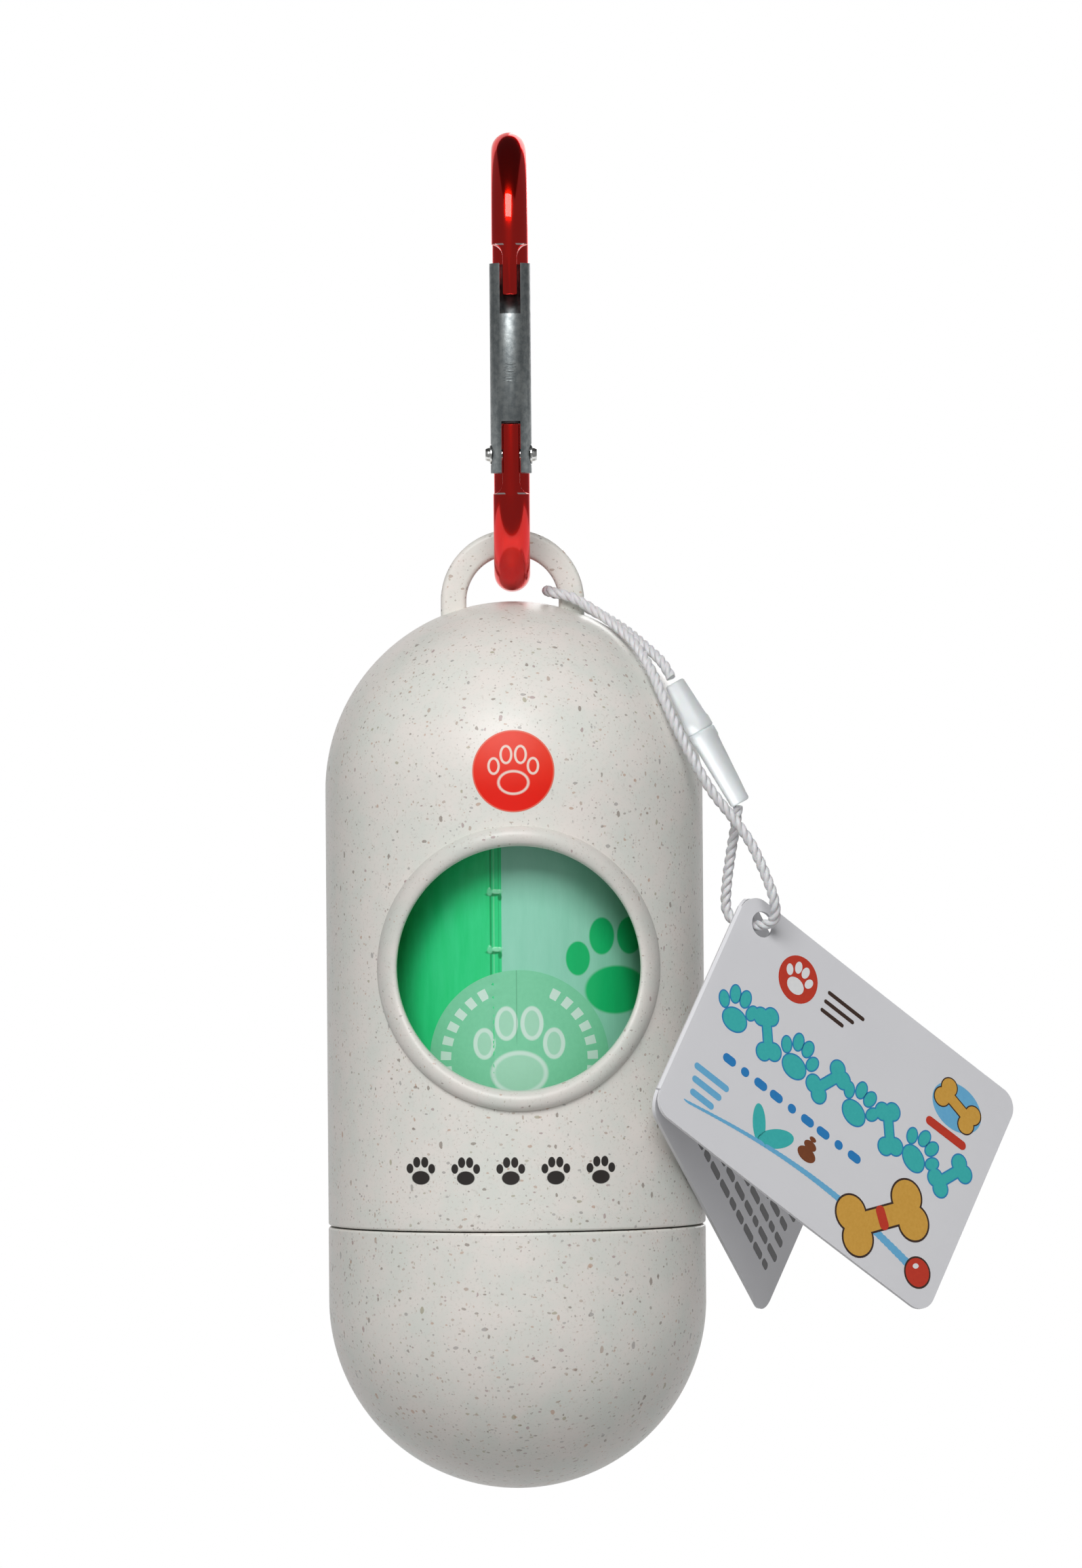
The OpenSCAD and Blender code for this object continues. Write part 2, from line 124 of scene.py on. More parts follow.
camera_data = bpy.data.cameras.new("photo_camera")
camera_data.sensor_width = SENSOR
camera_data.lens = SENSOR * CAMERA_AWAY / (PHOTO_H * MM_PER_PIXEL * MM)
camera_data.clip_start = 0.05
camera_data.clip_end = 10
camera = bpy.data.objects.new("photo_camera", camera_data)
camera.location = photo_point(PHOTO_W / 2 + SWAY_PIXELS, PHOTO_H / 2, -CAMERA_AWAY)
camera.rotation_euler = (math.pi / 2, LEAN, 0)
bpy.context.collection.objects.link(camera)
bpy.context.scene.camera = camera
print("lens %.0f mm at %.2f m" % (camera_data.lens, CAMERA_AWAY))


# %% [markdown]
# ## Working helpers
# The modelling operators act on whatever is selected, and a freshly loaded frame
# is selected all over. So each piece starts from an empty selection. A finished
# piece has its place baked into its mesh, because its pattern reads object
# coordinates.

# %% Helpers for selecting and finishing
def start_fresh():
    """Object mode, nothing selected."""
    if bpy.context.object and bpy.context.object.mode != "OBJECT":
        bpy.ops.object.mode_set(mode="OBJECT")
    bpy.ops.object.select_all(action="DESELECT")


def hold(obj):
    """Selects one object and makes it the active one."""
    start_fresh()
    obj.select_set(True)
    bpy.context.view_layer.objects.active = obj
    return obj


def open_mesh(obj):
    """Edit mode on one object, with all of it selected."""
    hold(obj)
    bpy.ops.object.mode_set(mode="EDIT")
    bpy.ops.mesh.select_all(action="SELECT")


def close_mesh():
    """Back to object mode."""
    bpy.ops.object.mode_set(mode="OBJECT")


def new_object(name, points, edges=(), faces=()):
    """Mesh object made from bare points, edges and faces."""
    mesh = bpy.data.meshes.new(name)
    mesh.from_pydata(points, edges, faces)
    obj = bpy.data.objects.new(name, mesh)
    bpy.context.collection.objects.link(obj)
    return obj


def bake_place(obj):
    """Moves an object's place, turn and scale into its mesh."""
    hold(obj)
    bpy.ops.object.transform_apply(location=True, rotation=True, scale=True)
    return obj


def smooth(obj, angle=35):
    """Smooth shading, with edges sharper than the angle kept crisp."""
    hold(obj)
    bpy.ops.object.shade_smooth_by_angle(angle=math.radians(angle))
    return obj


def tidy_normals(obj, merge=1e-7):
    """Merges doubles and turns all faces outwards."""
    open_mesh(obj)
    bpy.ops.mesh.remove_doubles(threshold=merge)
    bpy.ops.mesh.normals_make_consistent(inside=False)
    close_mesh()
    return obj


def add_modifier(obj, kind, **settings):
    """Adds a modifier, sets it and applies it at once."""
    hold(obj)
    modifier = obj.modifiers.new(kind.lower(), kind)
    for name, value in settings.items():
        setattr(modifier, name, value)
    bpy.ops.object.modifier_apply(modifier=modifier.name)
    return obj


# %% [markdown]
# Cutting with a tool and extruding a ring are written once here, for all the pieces
# that need them.

# %% Helpers for cutting and extruding
ALONG_X = (0, math.pi / 2, 0)
ALONG_Y = (math.pi / 2, 0, 0)


def carve(obj, tool, operation="DIFFERENCE"):
    """Cuts a tool out of a piece, or welds it on, and removes the tool."""
    add_modifier(obj, "BOOLEAN", object=tool, operation=operation, solver="EXACT")
    bpy.data.objects.remove(tool, do_unlink=True)
    return obj


def peg(radius, depth, place, turn=(0, 0, 0), vertices=48):
    """Round bar that serves as a drill."""
    start_fresh()
    bpy.ops.mesh.primitive_cylinder_add(
        vertices=vertices, radius=radius, depth=depth, location=place, rotation=turn
    )
    return bpy.context.object


def push(up, back=0):
    """Extrudes what is selected straight up or down, or level along Y."""
    bpy.ops.mesh.extrude_region_move(TRANSFORM_OT_translate={"value": (0, back, up)})


def select_open_ends():
    """Selects the open rings of the mesh that is being edited."""
    bpy.ops.mesh.select_mode(type="EDGE")
    bpy.ops.mesh.select_all(action="DESELECT")
    bpy.ops.mesh.select_non_manifold()


def clamp(value, low=0, high=1):
    """The value, kept between two bounds."""
    return min(max(value, low), high)


def turned(x, y, angle):
    """A flat point turned round the origin, angle in radians."""
    return x * math.cos(angle) - y * math.sin(angle), x * math.sin(angle) + y * math.cos(angle)


# %% [markdown]
# ## Turned shapes
# Most of this object is round: the dome, the bowl, the lock and the gate. An
# outline is drawn as a chain of points and spun round an axis, as on a lathe. Arcs
# in an outline come from a formula, so it holds only the corners that matter.

# %% Outline and lathe
def arc(cx, cy, r, start, end, steps):
    """Points on an arc, angles in degrees."""
    return [
        (cx + r * math.cos(math.radians(a)), cy + r * math.sin(math.radians(a)))
        for a in (start + (end - start) * i / steps for i in range(steps + 1))
    ]


def line(start, end, steps):
    """Evenly spaced points from start towards end, without the end itself."""
    return [tuple(a + (b - a) * i / steps for a, b in zip(start, end)) for i in range(steps)]


def lathe(name, outline, steps, closed=False, turn=360):
    """Spins an outline of (radius, height) points round the Z axis."""
    edges = [(i, i + 1) for i in range(len(outline) - 1)]
    if closed:
        edges.append((len(outline) - 1, 0))
    obj = new_object(name, [(r, 0, z) for r, z in outline], edges)
    open_mesh(obj)
    bpy.ops.mesh.spin(
        steps=steps, angle=math.radians(turn), center=(0, 0, 0), axis=(0, 0, 1),
        use_auto_merge=(turn == 360),
    )
    close_mesh()
    return tidy_normals(obj)


# %% [markdown]
# ## Tubes along a route
# The string and the threads are swept: a small closed section is carried along a
# line of points without twisting, and may be turned on purpose as it goes.

# %% Smooth route and sweep
def smooth_route(points, per_span):
    """Catmull-Rom curve through the points, in short steps."""
    pts = [Vector(p) for p in points]
    pts = [2 * pts[0] - pts[1], *pts, 2 * pts[-1] - pts[-2]]
    out = []
    for a, b, c, d in zip(pts, pts[1:], pts[2:], pts[3:]):
        for t in (i / per_span for i in range(per_span)):
            out.append(0.5 * (
                2 * b + (c - a) * t + (2 * a - 5 * b + 4 * c - d) * t ** 2
                + (3 * b - a - 3 * c + d) * t ** 3
            ))
    return [*out, pts[-2]]


def tube(name, rings):
    """Closed tube through rings of points."""
    n, last = len(rings[0]), len(rings) - 1
    faces = [
        (i * n + j, i * n + (j + 1) % n, (i + 1) * n + (j + 1) % n, (i + 1) * n + j)
        for i in range(last) for j in range(n)
    ]
    faces += [tuple(reversed(range(n))), tuple(last * n + j for j in range(n))]
    return tidy_normals(new_object(name, [p for ring in rings for p in ring], (), faces), 1e-8)


def sweep(name, route, section, twist_per_metre=0.0, scale=lambda t: 1):
    """Carries a closed section of (x, y) points along a route; twist is in turns per metre."""
    rings = []
    side = Vector((0.2, 0.9, 0.4))
    gone = 0.0
    for i, point in enumerate(route):
        ahead = (route[min(i + 1, len(route) - 1)] - route[max(i - 1, 0)]).normalized()
        side = (side - side.dot(ahead) * ahead).normalized()
        other = ahead.cross(side)
        if i:
            gone += (point - route[i - 1]).length
        size = scale(i / (len(route) - 1))
        flat = [turned(x, y, math.tau * twist_per_metre * gone) for x, y in section]
        rings.append([point + u * size * side + v * size * other for u, v in flat])
    return tube(name, rings)


# %% [markdown]
# ## String
# The hang tag's string is laid from three plies of white nylon, 1.15 mm thick. It
# starts in the upper end of its snap lock, goes round the right leg of the eye,
# down past the lock, through both holes of the card and up into the lock's lower
# end. The plies are a section with three lobes that turns as it is swept, so the lay
# is real geometry.

# %% Route and mesh of the string
STRING_D = 1.15 * MM
STRING_LAY = 3.1 * MM
STRING_ROUTE = [
    (16.7, -7.4, -8.3), (15.7, -6.6, -6.6), (14.1, -4.6, -5.0), (12.0, -2.0, -3.2),
    (10.1, 0.5, -1.9), (8.3, 2.3, -0.9), (6.3, 2.6, 0.3), (4.3, 2.0, 0.9),
    (3.7, 0, 1.1), (4.3, -2.0, 0.9), (6.3, -2.6, 0.3), (8.4, -3.0, -0.9),
    (10.6, -4.3, -2.5), (12.8, -6.4, -4.6), (14.4, -8.7, -7.2), (15.7, -10.0, -10.2),
    (17.2, -10.6, -13.6), (18.9, -10.6, -17.0), (20.9, -10.3, -20.4), (23.1, -9.9, -23.2),
    (24.9, -9.7, -25.8), (26.2, -9.8, -28.6), (27.2, -9.8, -31.4), (27.4, -8.7, -33.6),
    (26.4, -7.4, -34.4), (24.8, -6.1, -34.5), (23.4, -4.9, -34.2), (22.4, -4.5, -32.8),
    (22.4, -4.9, -30.3), (22.8, -5.7, -27.2), (23.3, -6.6, -24.2), (23.6, -7.3, -21.9),
]


def ply_section(r, plies=3, points=30):
    """Outline of round plies laid together, as one closed section."""
    angles = [math.tau * i / points for i in range(points)]
    return [
        turned(r * (0.7 + 0.3 * abs(math.cos(plies * a / 2)) ** 1.1), 0, a) for a in angles
    ]


eye_middle = Vector((0, 0, EYE_Z))
string_path = smooth_route([eye_middle + Vector(p) * MM for p in STRING_ROUTE], 14)
string = sweep(
    "tag_string_laid", string_path, ply_section(STRING_D / 2), twist_per_metre=1 / STRING_LAY
)
smooth(string, 60)
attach(string, "housing")
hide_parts("tag_string")

# %% [markdown]
# ## Snap lock of the string
# A plug and a socket of milky plastic, pressed together once and for all. Both are
# turned barrels with a waist and a shoulder, on the axis that their CAD solids have.

# %% Lock
LOCK_D = 3 * MM
LOCK_LEN = 14.5 * MM
LOCK_SPLIT = 0.4
LOCK_SEAT = 0.2 * MM
LOCK_COLLAR = 1.1 * MM
TIP_ROUND = 0.3 * MM
COLLAR_ROUND = 0.25 * MM
lock_bearing = Vector((17, -7.5, 11.2)).normalized()
lock_dir = Vector((0.4745, 0, -0.88)).normalized()
lock_top = Vector((0, 0, DOME_Z)) + (BODY_R + LOCK_D / 2 + LOCK_SEAT) * lock_bearing


def lock_half(name, z0, z1, thin_end_first):
    """One half of the lock: a barrel that tapers to its free end, with a collar at the joint."""
    r = LOCK_D / 2
    outline = [
        (0, z0), *arc(0.72 * r - TIP_ROUND, z0 + TIP_ROUND, TIP_ROUND, -90, 0, 5),
        (0.93 * r, z1 - LOCK_COLLAR - COLLAR_ROUND), (r, z1 - LOCK_COLLAR),
        *arc(r - COLLAR_ROUND, z1 - COLLAR_ROUND, COLLAR_ROUND, 0, 90, 5), (0, z1),
    ]
    if not thin_end_first:
        outline = [(x, z0 + z1 - z) for x, z in outline]
    obj = lathe(name, outline, 48)
    obj.matrix_world = Matrix.Translation(lock_top) @ lock_dir.to_track_quat("Z", "Y").to_matrix().to_4x4()
    return smooth(bake_place(obj), 40)


lock_joint = LOCK_LEN * LOCK_SPLIT
lock_plug = lock_half("string_lock_plug_turned", 0, lock_joint, True)
lock_socket = lock_half("string_lock_socket_turned", lock_joint, LOCK_LEN, False)
for piece, node in ((lock_plug, "string_lock_plug"), (lock_socket, "string_lock_socket")):
    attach(piece, "housing")
    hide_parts(node)
print("lock %.1f mm long" % (LOCK_LEN / MM))

# %% [markdown]
# ## Housing
# One moulding: a dome on a straight wall, open below, with a round window in
# front. Its outline is spun, wall and all, so the window's edge shows the real
# thickness. The window is cut by a bar, and the eye is welded on top.

# %% Shell of the housing
LIP = 0.3 * MM
DOME_STEPS = 48
WALL_STEPS = 24
AROUND = 256
housing_outline = [
    *arc(0, DOME_Z, BODY_R, 90, 0, DOME_STEPS),
    *line((BODY_R, DOME_Z), (BODY_R, SEAM_Z + LIP), WALL_STEPS)[1:],
    *arc(BODY_R - LIP, SEAM_Z + LIP, LIP, 0, -90, 5),
    *line((INNER_R, SEAM_Z), (INNER_R, DOME_Z), WALL_STEPS),
    *arc(0, DOME_Z, INNER_R, 0, 90, DOME_STEPS),
]
housing = lathe("housing_shell", housing_outline, AROUND)
carve(housing, peg(WINDOW_R, BODY_R, (WINDOW_X, -BODY_R, WINDOW_Z), ALONG_Y, 192))
print("housing", len(housing.data.polygons), "faces")

# %% Eye on the dome
EYE_ROUND = 0.55 * MM
EYE_LEG = 1.75 * MM
eye_in, eye_out = EYE_R + EYE_ROUND, EYE_R + EYE_BAR - EYE_ROUND
eye_side = EYE_T / 2 - EYE_ROUND
eye_section = []
for x, y, start in (
    (eye_out, eye_side, 0), (eye_in, eye_side, 90), (eye_in, -eye_side, 180), (eye_out, -eye_side, 270),
):
    eye_section += arc(x, y, EYE_ROUND, start, start + 90, 6)
eye = lathe("eye_ring", eye_section, 96, closed=True, turn=180)
eye.matrix_world = Matrix.Translation((0, 0, EYE_Z)) @ Matrix.Rotation(-math.pi / 2, 4, "X")
open_mesh(bake_place(eye))
select_open_ends()
push(-EYE_LEG)
bpy.ops.mesh.edge_face_add()
bpy.ops.mesh.select_all(action="SELECT")
bpy.ops.mesh.normals_make_consistent(inside=False)
bpy.ops.mesh.select_mode(type="VERT")
close_mesh()
print("eye", len(eye.data.vertices), "points")

# %% [markdown]
# The two ends of the half ring are now one face each, sunk into the dome's wall.
# The boolean welds ring and dome into a single closed shell.

# %% Weld the eye and finish the housing
carve(housing, eye, "UNION")
smooth(housing, 32)
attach(housing, "housing")
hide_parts("housing")
print("welded housing", len(housing.data.polygons), "faces")

# %% [markdown]
# ## Window rim
# A rounded bead runs round the window, half sunk in the wall. It starts as a torus
# and each of its points is then set back by the depth of the curved wall at that
# place, so the ring follows the capsule.

# %% Rim
def wall_depth(x, z, r):
    """How far forward the capsule's outside stands at x and z."""
    over = max(z - DOME_Z, 0)
    return math.sqrt(max(r * r - x * x - over * over, 0))


start_fresh()
bpy.ops.mesh.primitive_torus_add(
    major_radius=WINDOW_R + RIM_W / 2, minor_radius=RIM_W / 2,
    major_segments=192, minor_segments=28,
    location=(WINDOW_X, 0, WINDOW_Z), rotation=ALONG_Y,
)
rim = bake_place(bpy.context.object)
rim.name = "window_rim"
for vertex in rim.data.vertices:
    vertex.co.y -= wall_depth(vertex.co.x, vertex.co.z, BODY_R)
smooth(rim, 60)
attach(rim, "housing")
print("rim stands %.2f mm proud" % (-min(v.co.y for v in rim.data.vertices) / MM - BODY_R / MM))

# %% [markdown]
# ## Cap
# The bowl screws into the housing from below. Its collar and thread only show when
# it is drawn out, but they are what holds it, so they are modelled as well: the
# ridge is a small section swept along a helix and welded to the collar.

# %% Cap
CAP_TOP_Z = SEAM_Z - SEAM_GAP
THREAD_DEPTH = 0.6 * MM
THREAD_GAP = 0.4 * MM
THREAD_LEAD = 4 * MM
THREAD_SUNK = 0.3 * MM
THREAD_START = 0.9 * MM
THREAD_TURNS = 1.25
COLLAR_R = INNER_R - THREAD_DEPTH - THREAD_GAP
COLLAR_IN_R = COLLAR_R - 1.4 * MM
COLLAR_TOP = cap_high.z
collar_foot = CAP_TOP_Z - 2.2 * MM
cap_outline = [
    *arc(0, BOWL_Z, BODY_R, -90, 0, DOME_STEPS), *arc(BODY_R - LIP, CAP_TOP_Z - LIP, LIP, 0, 90, 5),
    (COLLAR_R, CAP_TOP_Z), (COLLAR_R, COLLAR_TOP - LIP), (COLLAR_R - LIP, COLLAR_TOP),
    (COLLAR_IN_R, COLLAR_TOP), (COLLAR_IN_R, collar_foot), (INNER_R, collar_foot),
    *arc(0, BOWL_Z, INNER_R, 0, -90, DOME_STEPS),
]
cap = lathe("cap_shell", cap_outline, AROUND)
ridge_rings = []
for i in range(int(48 * THREAD_TURNS) + 1):
    turns = i / 48
    ridge_rings.append([
        Vector((*turned(r, 0, math.tau * turns), CAP_TOP_Z + THREAD_START + THREAD_LEAD * turns + rise))
        for r, rise in (
            (COLLAR_R - THREAD_SUNK, -0.6 * MM), (COLLAR_R + THREAD_DEPTH, -0.3 * MM),
            (COLLAR_R + THREAD_DEPTH, 0.3 * MM), (COLLAR_R - THREAD_SUNK, 0.6 * MM),
        )
    ])
carve(cap, tube("thread_ridge", ridge_rings), "UNION")
smooth(cap, 32)
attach(cap, "cap")
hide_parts("cap")
print("cap", len(cap.data.polygons), "faces")

# %% [markdown]
# ## Roll of bags
# Thin green film wound on a core. The outermost turn ends in an upright edge just
# left of the middle of the window, with a narrow welded strip and two small puckers
# beside it. The roll is spun from an outline with many rows, and the film's slack
# is then worked into its skin with soft noise.

# %% Roll
ROLL_R = roll_high.x
FILM_LAP = 0.25 * MM
FILM_EDGE_X = -2.5 * MM
FILM_IN_R = 7.6 * MM
ROLL_ROWS = 150
PUCKERS = ((-2.1 * MM, WINDOW_Z + 8.2 * MM), (-2.0 * MM, WINDOW_Z + 2.1 * MM))
SLACK_SCALE, RIPPLE_SCALE = Vector((240, 240, 60)), Vector((900, 900, 180))


def film_skin(point):
    """How far the film's skin lies under the roll's full radius at a point."""
    turn_by = math.atan2(point.x, -point.y) - math.asin(FILM_EDGE_X / ROLL_R)
    slack = noise.noise(point * SLACK_SCALE)
    ripple = noise.noise(point * RIPPLE_SCALE + Vector((0, 0, 7)))
    down = 0.8 * FILM_LAP * clamp(turn_by / 0.02) + (0.05 + 0.05 * slack + 0.015 * ripple) * MM
    if point.y >= 0:
        return down
    down -= 0.05 * MM * math.exp(-((point.x - FILM_EDGE_X - 0.9 * MM) / (0.35 * MM)) ** 2)
    for px, pz in PUCKERS:
        away = math.hypot(point.x - px, (point.z - pz) * 1.2) / MM
        down += 0.16 * MM * math.exp(-(away / 0.5) ** 2) * math.cos(6 * away)
    return down


roll = lathe("wound_film", [
    (FILM_IN_R, roll_low.z), *line((ROLL_R, roll_low.z), (ROLL_R, roll_high.z), ROLL_ROWS),
    (ROLL_R, roll_high.z), (FILM_IN_R, roll_high.z),
], 360, closed=True)
for vertex in roll.data.vertices:
    if vertex.co.xy.length > ROLL_R - 0.01 * MM:
        vertex.co -= Vector((*vertex.co.xy, 0)).normalized() * film_skin(vertex.co)
smooth(roll, 50)
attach(roll, "bags")
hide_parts("bag_roll")
print("roll %.1f mm across" % (2 * ROLL_R / MM))

# %% [markdown]
# ## Sticker and printed disc
# Both are round sheets that lie on a curved wall. A filled circle is inset again
# and again to get rings of points, and every point is then set on the wall.

# %% Round sheets on a curved wall
def round_sheet(name, centre_x, centre_z, r, rings, depth_at, thick):
    """Round sheet facing -Y whose points lie at depth_at(x, z), with a real thickness."""
    start_fresh()
    bpy.ops.mesh.primitive_circle_add(
        vertices=96, radius=r, fill_type="NGON", location=(centre_x, 0, centre_z), rotation=ALONG_Y
    )
    obj = bake_place(bpy.context.object)
    obj.name = name
    open_mesh(obj)
    for _ in range(rings):
        bpy.ops.mesh.inset(thickness=r / (rings + 1), use_even_offset=True)
    bpy.ops.mesh.poke()
    close_mesh()
    for vertex in obj.data.vertices:
        vertex.co.y = -depth_at(vertex.co.x, vertex.co.z)
    tidy_normals(obj)
    if sum(p.normal.y for p in obj.data.polygons) > 0:
        obj.data.flip_normals()
    add_modifier(obj, "SOLIDIFY", thickness=thick, offset=1)
    return smooth(obj, 40)


STICKER_R = 9.35 * MM
STICKER_X = 0.4 * MM
STICKER_Z = roll_low.z + 36.15 * MM
STICKER_T = 0.08 * MM
DISC_R = 4.28 * MM
DISC_T = 0.03 * MM
DISC_Z = photo_point(757, 1137).z
SUNK = 0.01 * MM


def sticker_depth(x, z):
    """The sticker lies on the film, and climbs onto its outermost layer at the edge."""
    climb = clamp((FILM_EDGE_X + 0.2 * MM - x) / (0.25 * MM))
    r = ROLL_R - FILM_LAP + (FILM_LAP - SUNK) * climb
    return math.sqrt(r * r - x * x)


def disc_depth(x, z):
    """The disc lies on the housing's wall."""
    return wall_depth(x, z, BODY_R - SUNK)


sticker = round_sheet(
    "roll_sticker_sheet", STICKER_X, STICKER_Z, STICKER_R, 36, sticker_depth, STICKER_T
)
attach(sticker, "bags")
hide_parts("roll_sticker")
disc = round_sheet("printed_disc", 0, DISC_Z, DISC_R, 8, disc_depth, DISC_T)
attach(disc, "housing")
print("sticker and disc on their walls")

# %% [markdown]
# ## Carabiner
# The frame is bent from one aluminium rod, and both ends are milled down to a flat
# tongue. It is modelled the way it is bent: a ring of points is extruded along the
# straights and spun round the bends. Where a tongue begins, the ring's sides are
# pressed flat, which leaves the scooped shoulders of the real one.

# %% Sizes of the carabiner
ROD_R = frame_high.x
HALF_W = frame_high.y - ROD_R
TOP_Z = frame_high.z - ROD_R
LOW_Z = frame_low.z + ROD_R
TOP_BEND_R = 9 * MM
LOW_BEND_R = 8 * MM
RIVET_Z = LOW_Z - ROD_R + 14.2 * MM
SHOULDER_PLAY = 1.6 * MM
NOSE_Z = gate_high.z + SHOULDER_PLAY
NOSE_LEN = 4.9 * MM
NOSE_T = 1.5 * MM
HEEL_Z = gate_low.z - SHOULDER_PLAY - 0.2 * MM
HEEL_T = 1.8 * MM
HEEL_UP = 3.1 * MM
GATE_R = gate_high.x
GATE_WALL = 0.5 * MM
GATE_IN_R = GATE_R - GATE_WALL
RIVET_HOLE_R = 0.7 * MM
print("rod %.1f mm, gate %.1f mm" % (2 * ROD_R / MM, 2 * GATE_R / MM))


# %% Rod bent from one ring
SCOOP = 1.3 * MM
SCOOP_START = 0.4 * MM
SCOOP_STEPS = 8
EDGE_BAND = 0.12 * MM
BEND_STEPS = 24
nose_top = NOSE_Z + SCOOP_START
heel_top = HEEL_Z - SCOOP_START


def bend(y, z):
    """Spins the selected ring a quarter turn round a bend's centre."""
    bpy.ops.mesh.spin(steps=BEND_STEPS, angle=math.pi / 2, center=(0, y, z), axis=(1, 0, 0))


def press_ring(half_x, back_y):
    """Presses the selected ring to a flat section: half_x to each side, back_y to the rear."""
    bm = bmesh.from_edit_mesh(bpy.context.object.data)
    for v in bm.verts:
        if v.select:
            v.co.x = clamp(v.co.x, -half_x, half_x)
            v.co.y = -HALF_W + clamp(v.co.y + HALF_W, -back_y - 0.4 * MM, back_y)
    bmesh.update_edit_mesh(bpy.context.object.data)


def mill_end(way, half_t, back_y, length):
    """From the selected ring on: a scooped shoulder, a flat tongue and its closed end."""
    for i in range(1, SCOOP_STEPS + 1):
        a = i / SCOOP_STEPS
        push(way * SCOOP / SCOOP_STEPS)
        left = 1 - math.sqrt(1 - (1 - a) ** 2)
        press_ring(half_t + (ROD_R - half_t) * left, ROD_R + (back_y - ROD_R) * a)
    push(way * (length - SCOOP - EDGE_BAND))
    push(way * EDGE_BAND)
    press_ring(half_t - EDGE_BAND, back_y - EDGE_BAND)
    bpy.ops.mesh.edge_face_add()


start_fresh()
bpy.ops.mesh.primitive_circle_add(
    vertices=64, radius=ROD_R, fill_type="NOTHING", location=(0, -HALF_W, nose_top)
)
rod = bake_place(bpy.context.object)
rod.name = "carabiner_rod"
top_c, low_c = TOP_Z - TOP_BEND_R, LOW_Z + LOW_BEND_R
top_y, low_y = HALF_W - TOP_BEND_R, HALF_W - LOW_BEND_R
open_mesh(rod)
push(EDGE_BAND)
push(top_c - nose_top - EDGE_BAND)
bend(-top_y, top_c)
push(0, 2 * top_y)
bend(top_y, top_c)
push(low_c - top_c)
bend(low_y, low_c)
push(0, -2 * low_y)
bend(-low_y, low_c)
push(heel_top - low_c - EDGE_BAND)
push(EDGE_BAND)
mill_end(1, HEEL_T / 2, 1.6 * MM, RIVET_Z + HEEL_UP - heel_top)
select_open_ends()
bpy.ops.mesh.select_mode(type="VERT")
mill_end(-1, NOSE_T / 2, 1.5 * MM, nose_top - NOSE_Z + NOSE_LEN)
close_mesh()
tidy_normals(rod)
carve(rod, peg(RIVET_HOLE_R, 4 * ROD_R, (0, -HALF_W, RIVET_Z), ALONG_X))
print("rod reaches", [round(c / MM, 2) for c in rod.dimensions])

# %% [markdown]
# The milling leaves bare metal along the shoulders' edges. A number is stored on
# the points there, and the anodised finish fades to bare aluminium by it.

# %% Bare edges and finish of the rod
bare = rod.data.attributes.new("bare_edge", "FLOAT", "POINT")
for i, vertex in enumerate(rod.data.vertices):
    co = vertex.co
    on_edge = min(abs(co.z - nose_top), abs(co.z - heel_top)) < 0.01 * MM
    bare.data[i].value = 1.0 if on_edge and co.y < 0 and abs(co.x) > 0.35 * ROD_R else 0.0
print("bare metal on %d points" % sum(point.value for point in bare.data))
smooth(rod, 40)
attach(rod, "carabiner")
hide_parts("carabiner_frame")

# %% [markdown]
# ## Gate
# Sheet rolled to a tube. A slot at the top takes the nose in, and one through both
# walls at the foot leaves room for the heel. Both are cut with booleans, and all
# edges then get a small bevel.

# %% Gate
NOSE_SLOT_W = 2.2 * MM
NOSE_SLOT_DEPTH = 5.3 * MM
HEEL_SLOT_W = 2 * MM
HEEL_SLOT_Z = RIVET_Z + 3.45 * MM
STOP_Z = gate_high.z - 7.3 * MM
STOP_T = 0.6 * MM
RIVET_FLAT_X = 2 * MM
RIVET_FLAT_R = 1.15 * MM
PAST = 3 * MM


def slot_cutter(width, back_y, z_low, z_high):
    """Box that cuts a slot of some width from in front of the gate back to back_y."""
    start_fresh()
    front_y = -HALF_W - PAST
    bpy.ops.mesh.primitive_cube_add(
        size=1, location=(0, (front_y + back_y) / 2, (z_low + z_high) / 2),
        scale=(width, back_y - front_y, z_high - z_low),
    )
    return bake_place(bpy.context.object)


gate = lathe("gate_tube", [
    (GATE_IN_R, gate_low.z), (GATE_R, gate_low.z), (GATE_R, gate_high.z), (GATE_IN_R, gate_high.z),
    (GATE_IN_R, STOP_Z + STOP_T), (0, STOP_Z + STOP_T), (0, STOP_Z), (GATE_IN_R, STOP_Z),
], 96, closed=True)
gate.location.y = -HALF_W
bake_place(gate)
carve(gate, slot_cutter(
    NOSE_SLOT_W, -HALF_W - 0.3 * MM, gate_high.z - NOSE_SLOT_DEPTH, gate_high.z + PAST
))
carve(gate, slot_cutter(HEEL_SLOT_W, -HALF_W + PAST, gate_low.z - PAST, HEEL_SLOT_Z))
for side in (-1, 1):
    middle_x = side * (RIVET_FLAT_X + 0.5 * MM)
    carve(gate, peg(RIVET_FLAT_R, 1 * MM, (middle_x, -HALF_W, RIVET_Z), ALONG_X))
tidy_normals(gate, 0.004 * MM)
add_modifier(
    gate, "BEVEL", width=0.07 * MM, segments=2, limit_method="ANGLE", angle_limit=math.radians(50)
)
smooth(gate, 40)
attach(gate, "gate")
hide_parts("carabiner_gate")
print("gate %.1f mm long" % ((gate_high.z - gate_low.z) / MM))

# %% [markdown]
# Six short ribs are stamped across the middle of the gate.

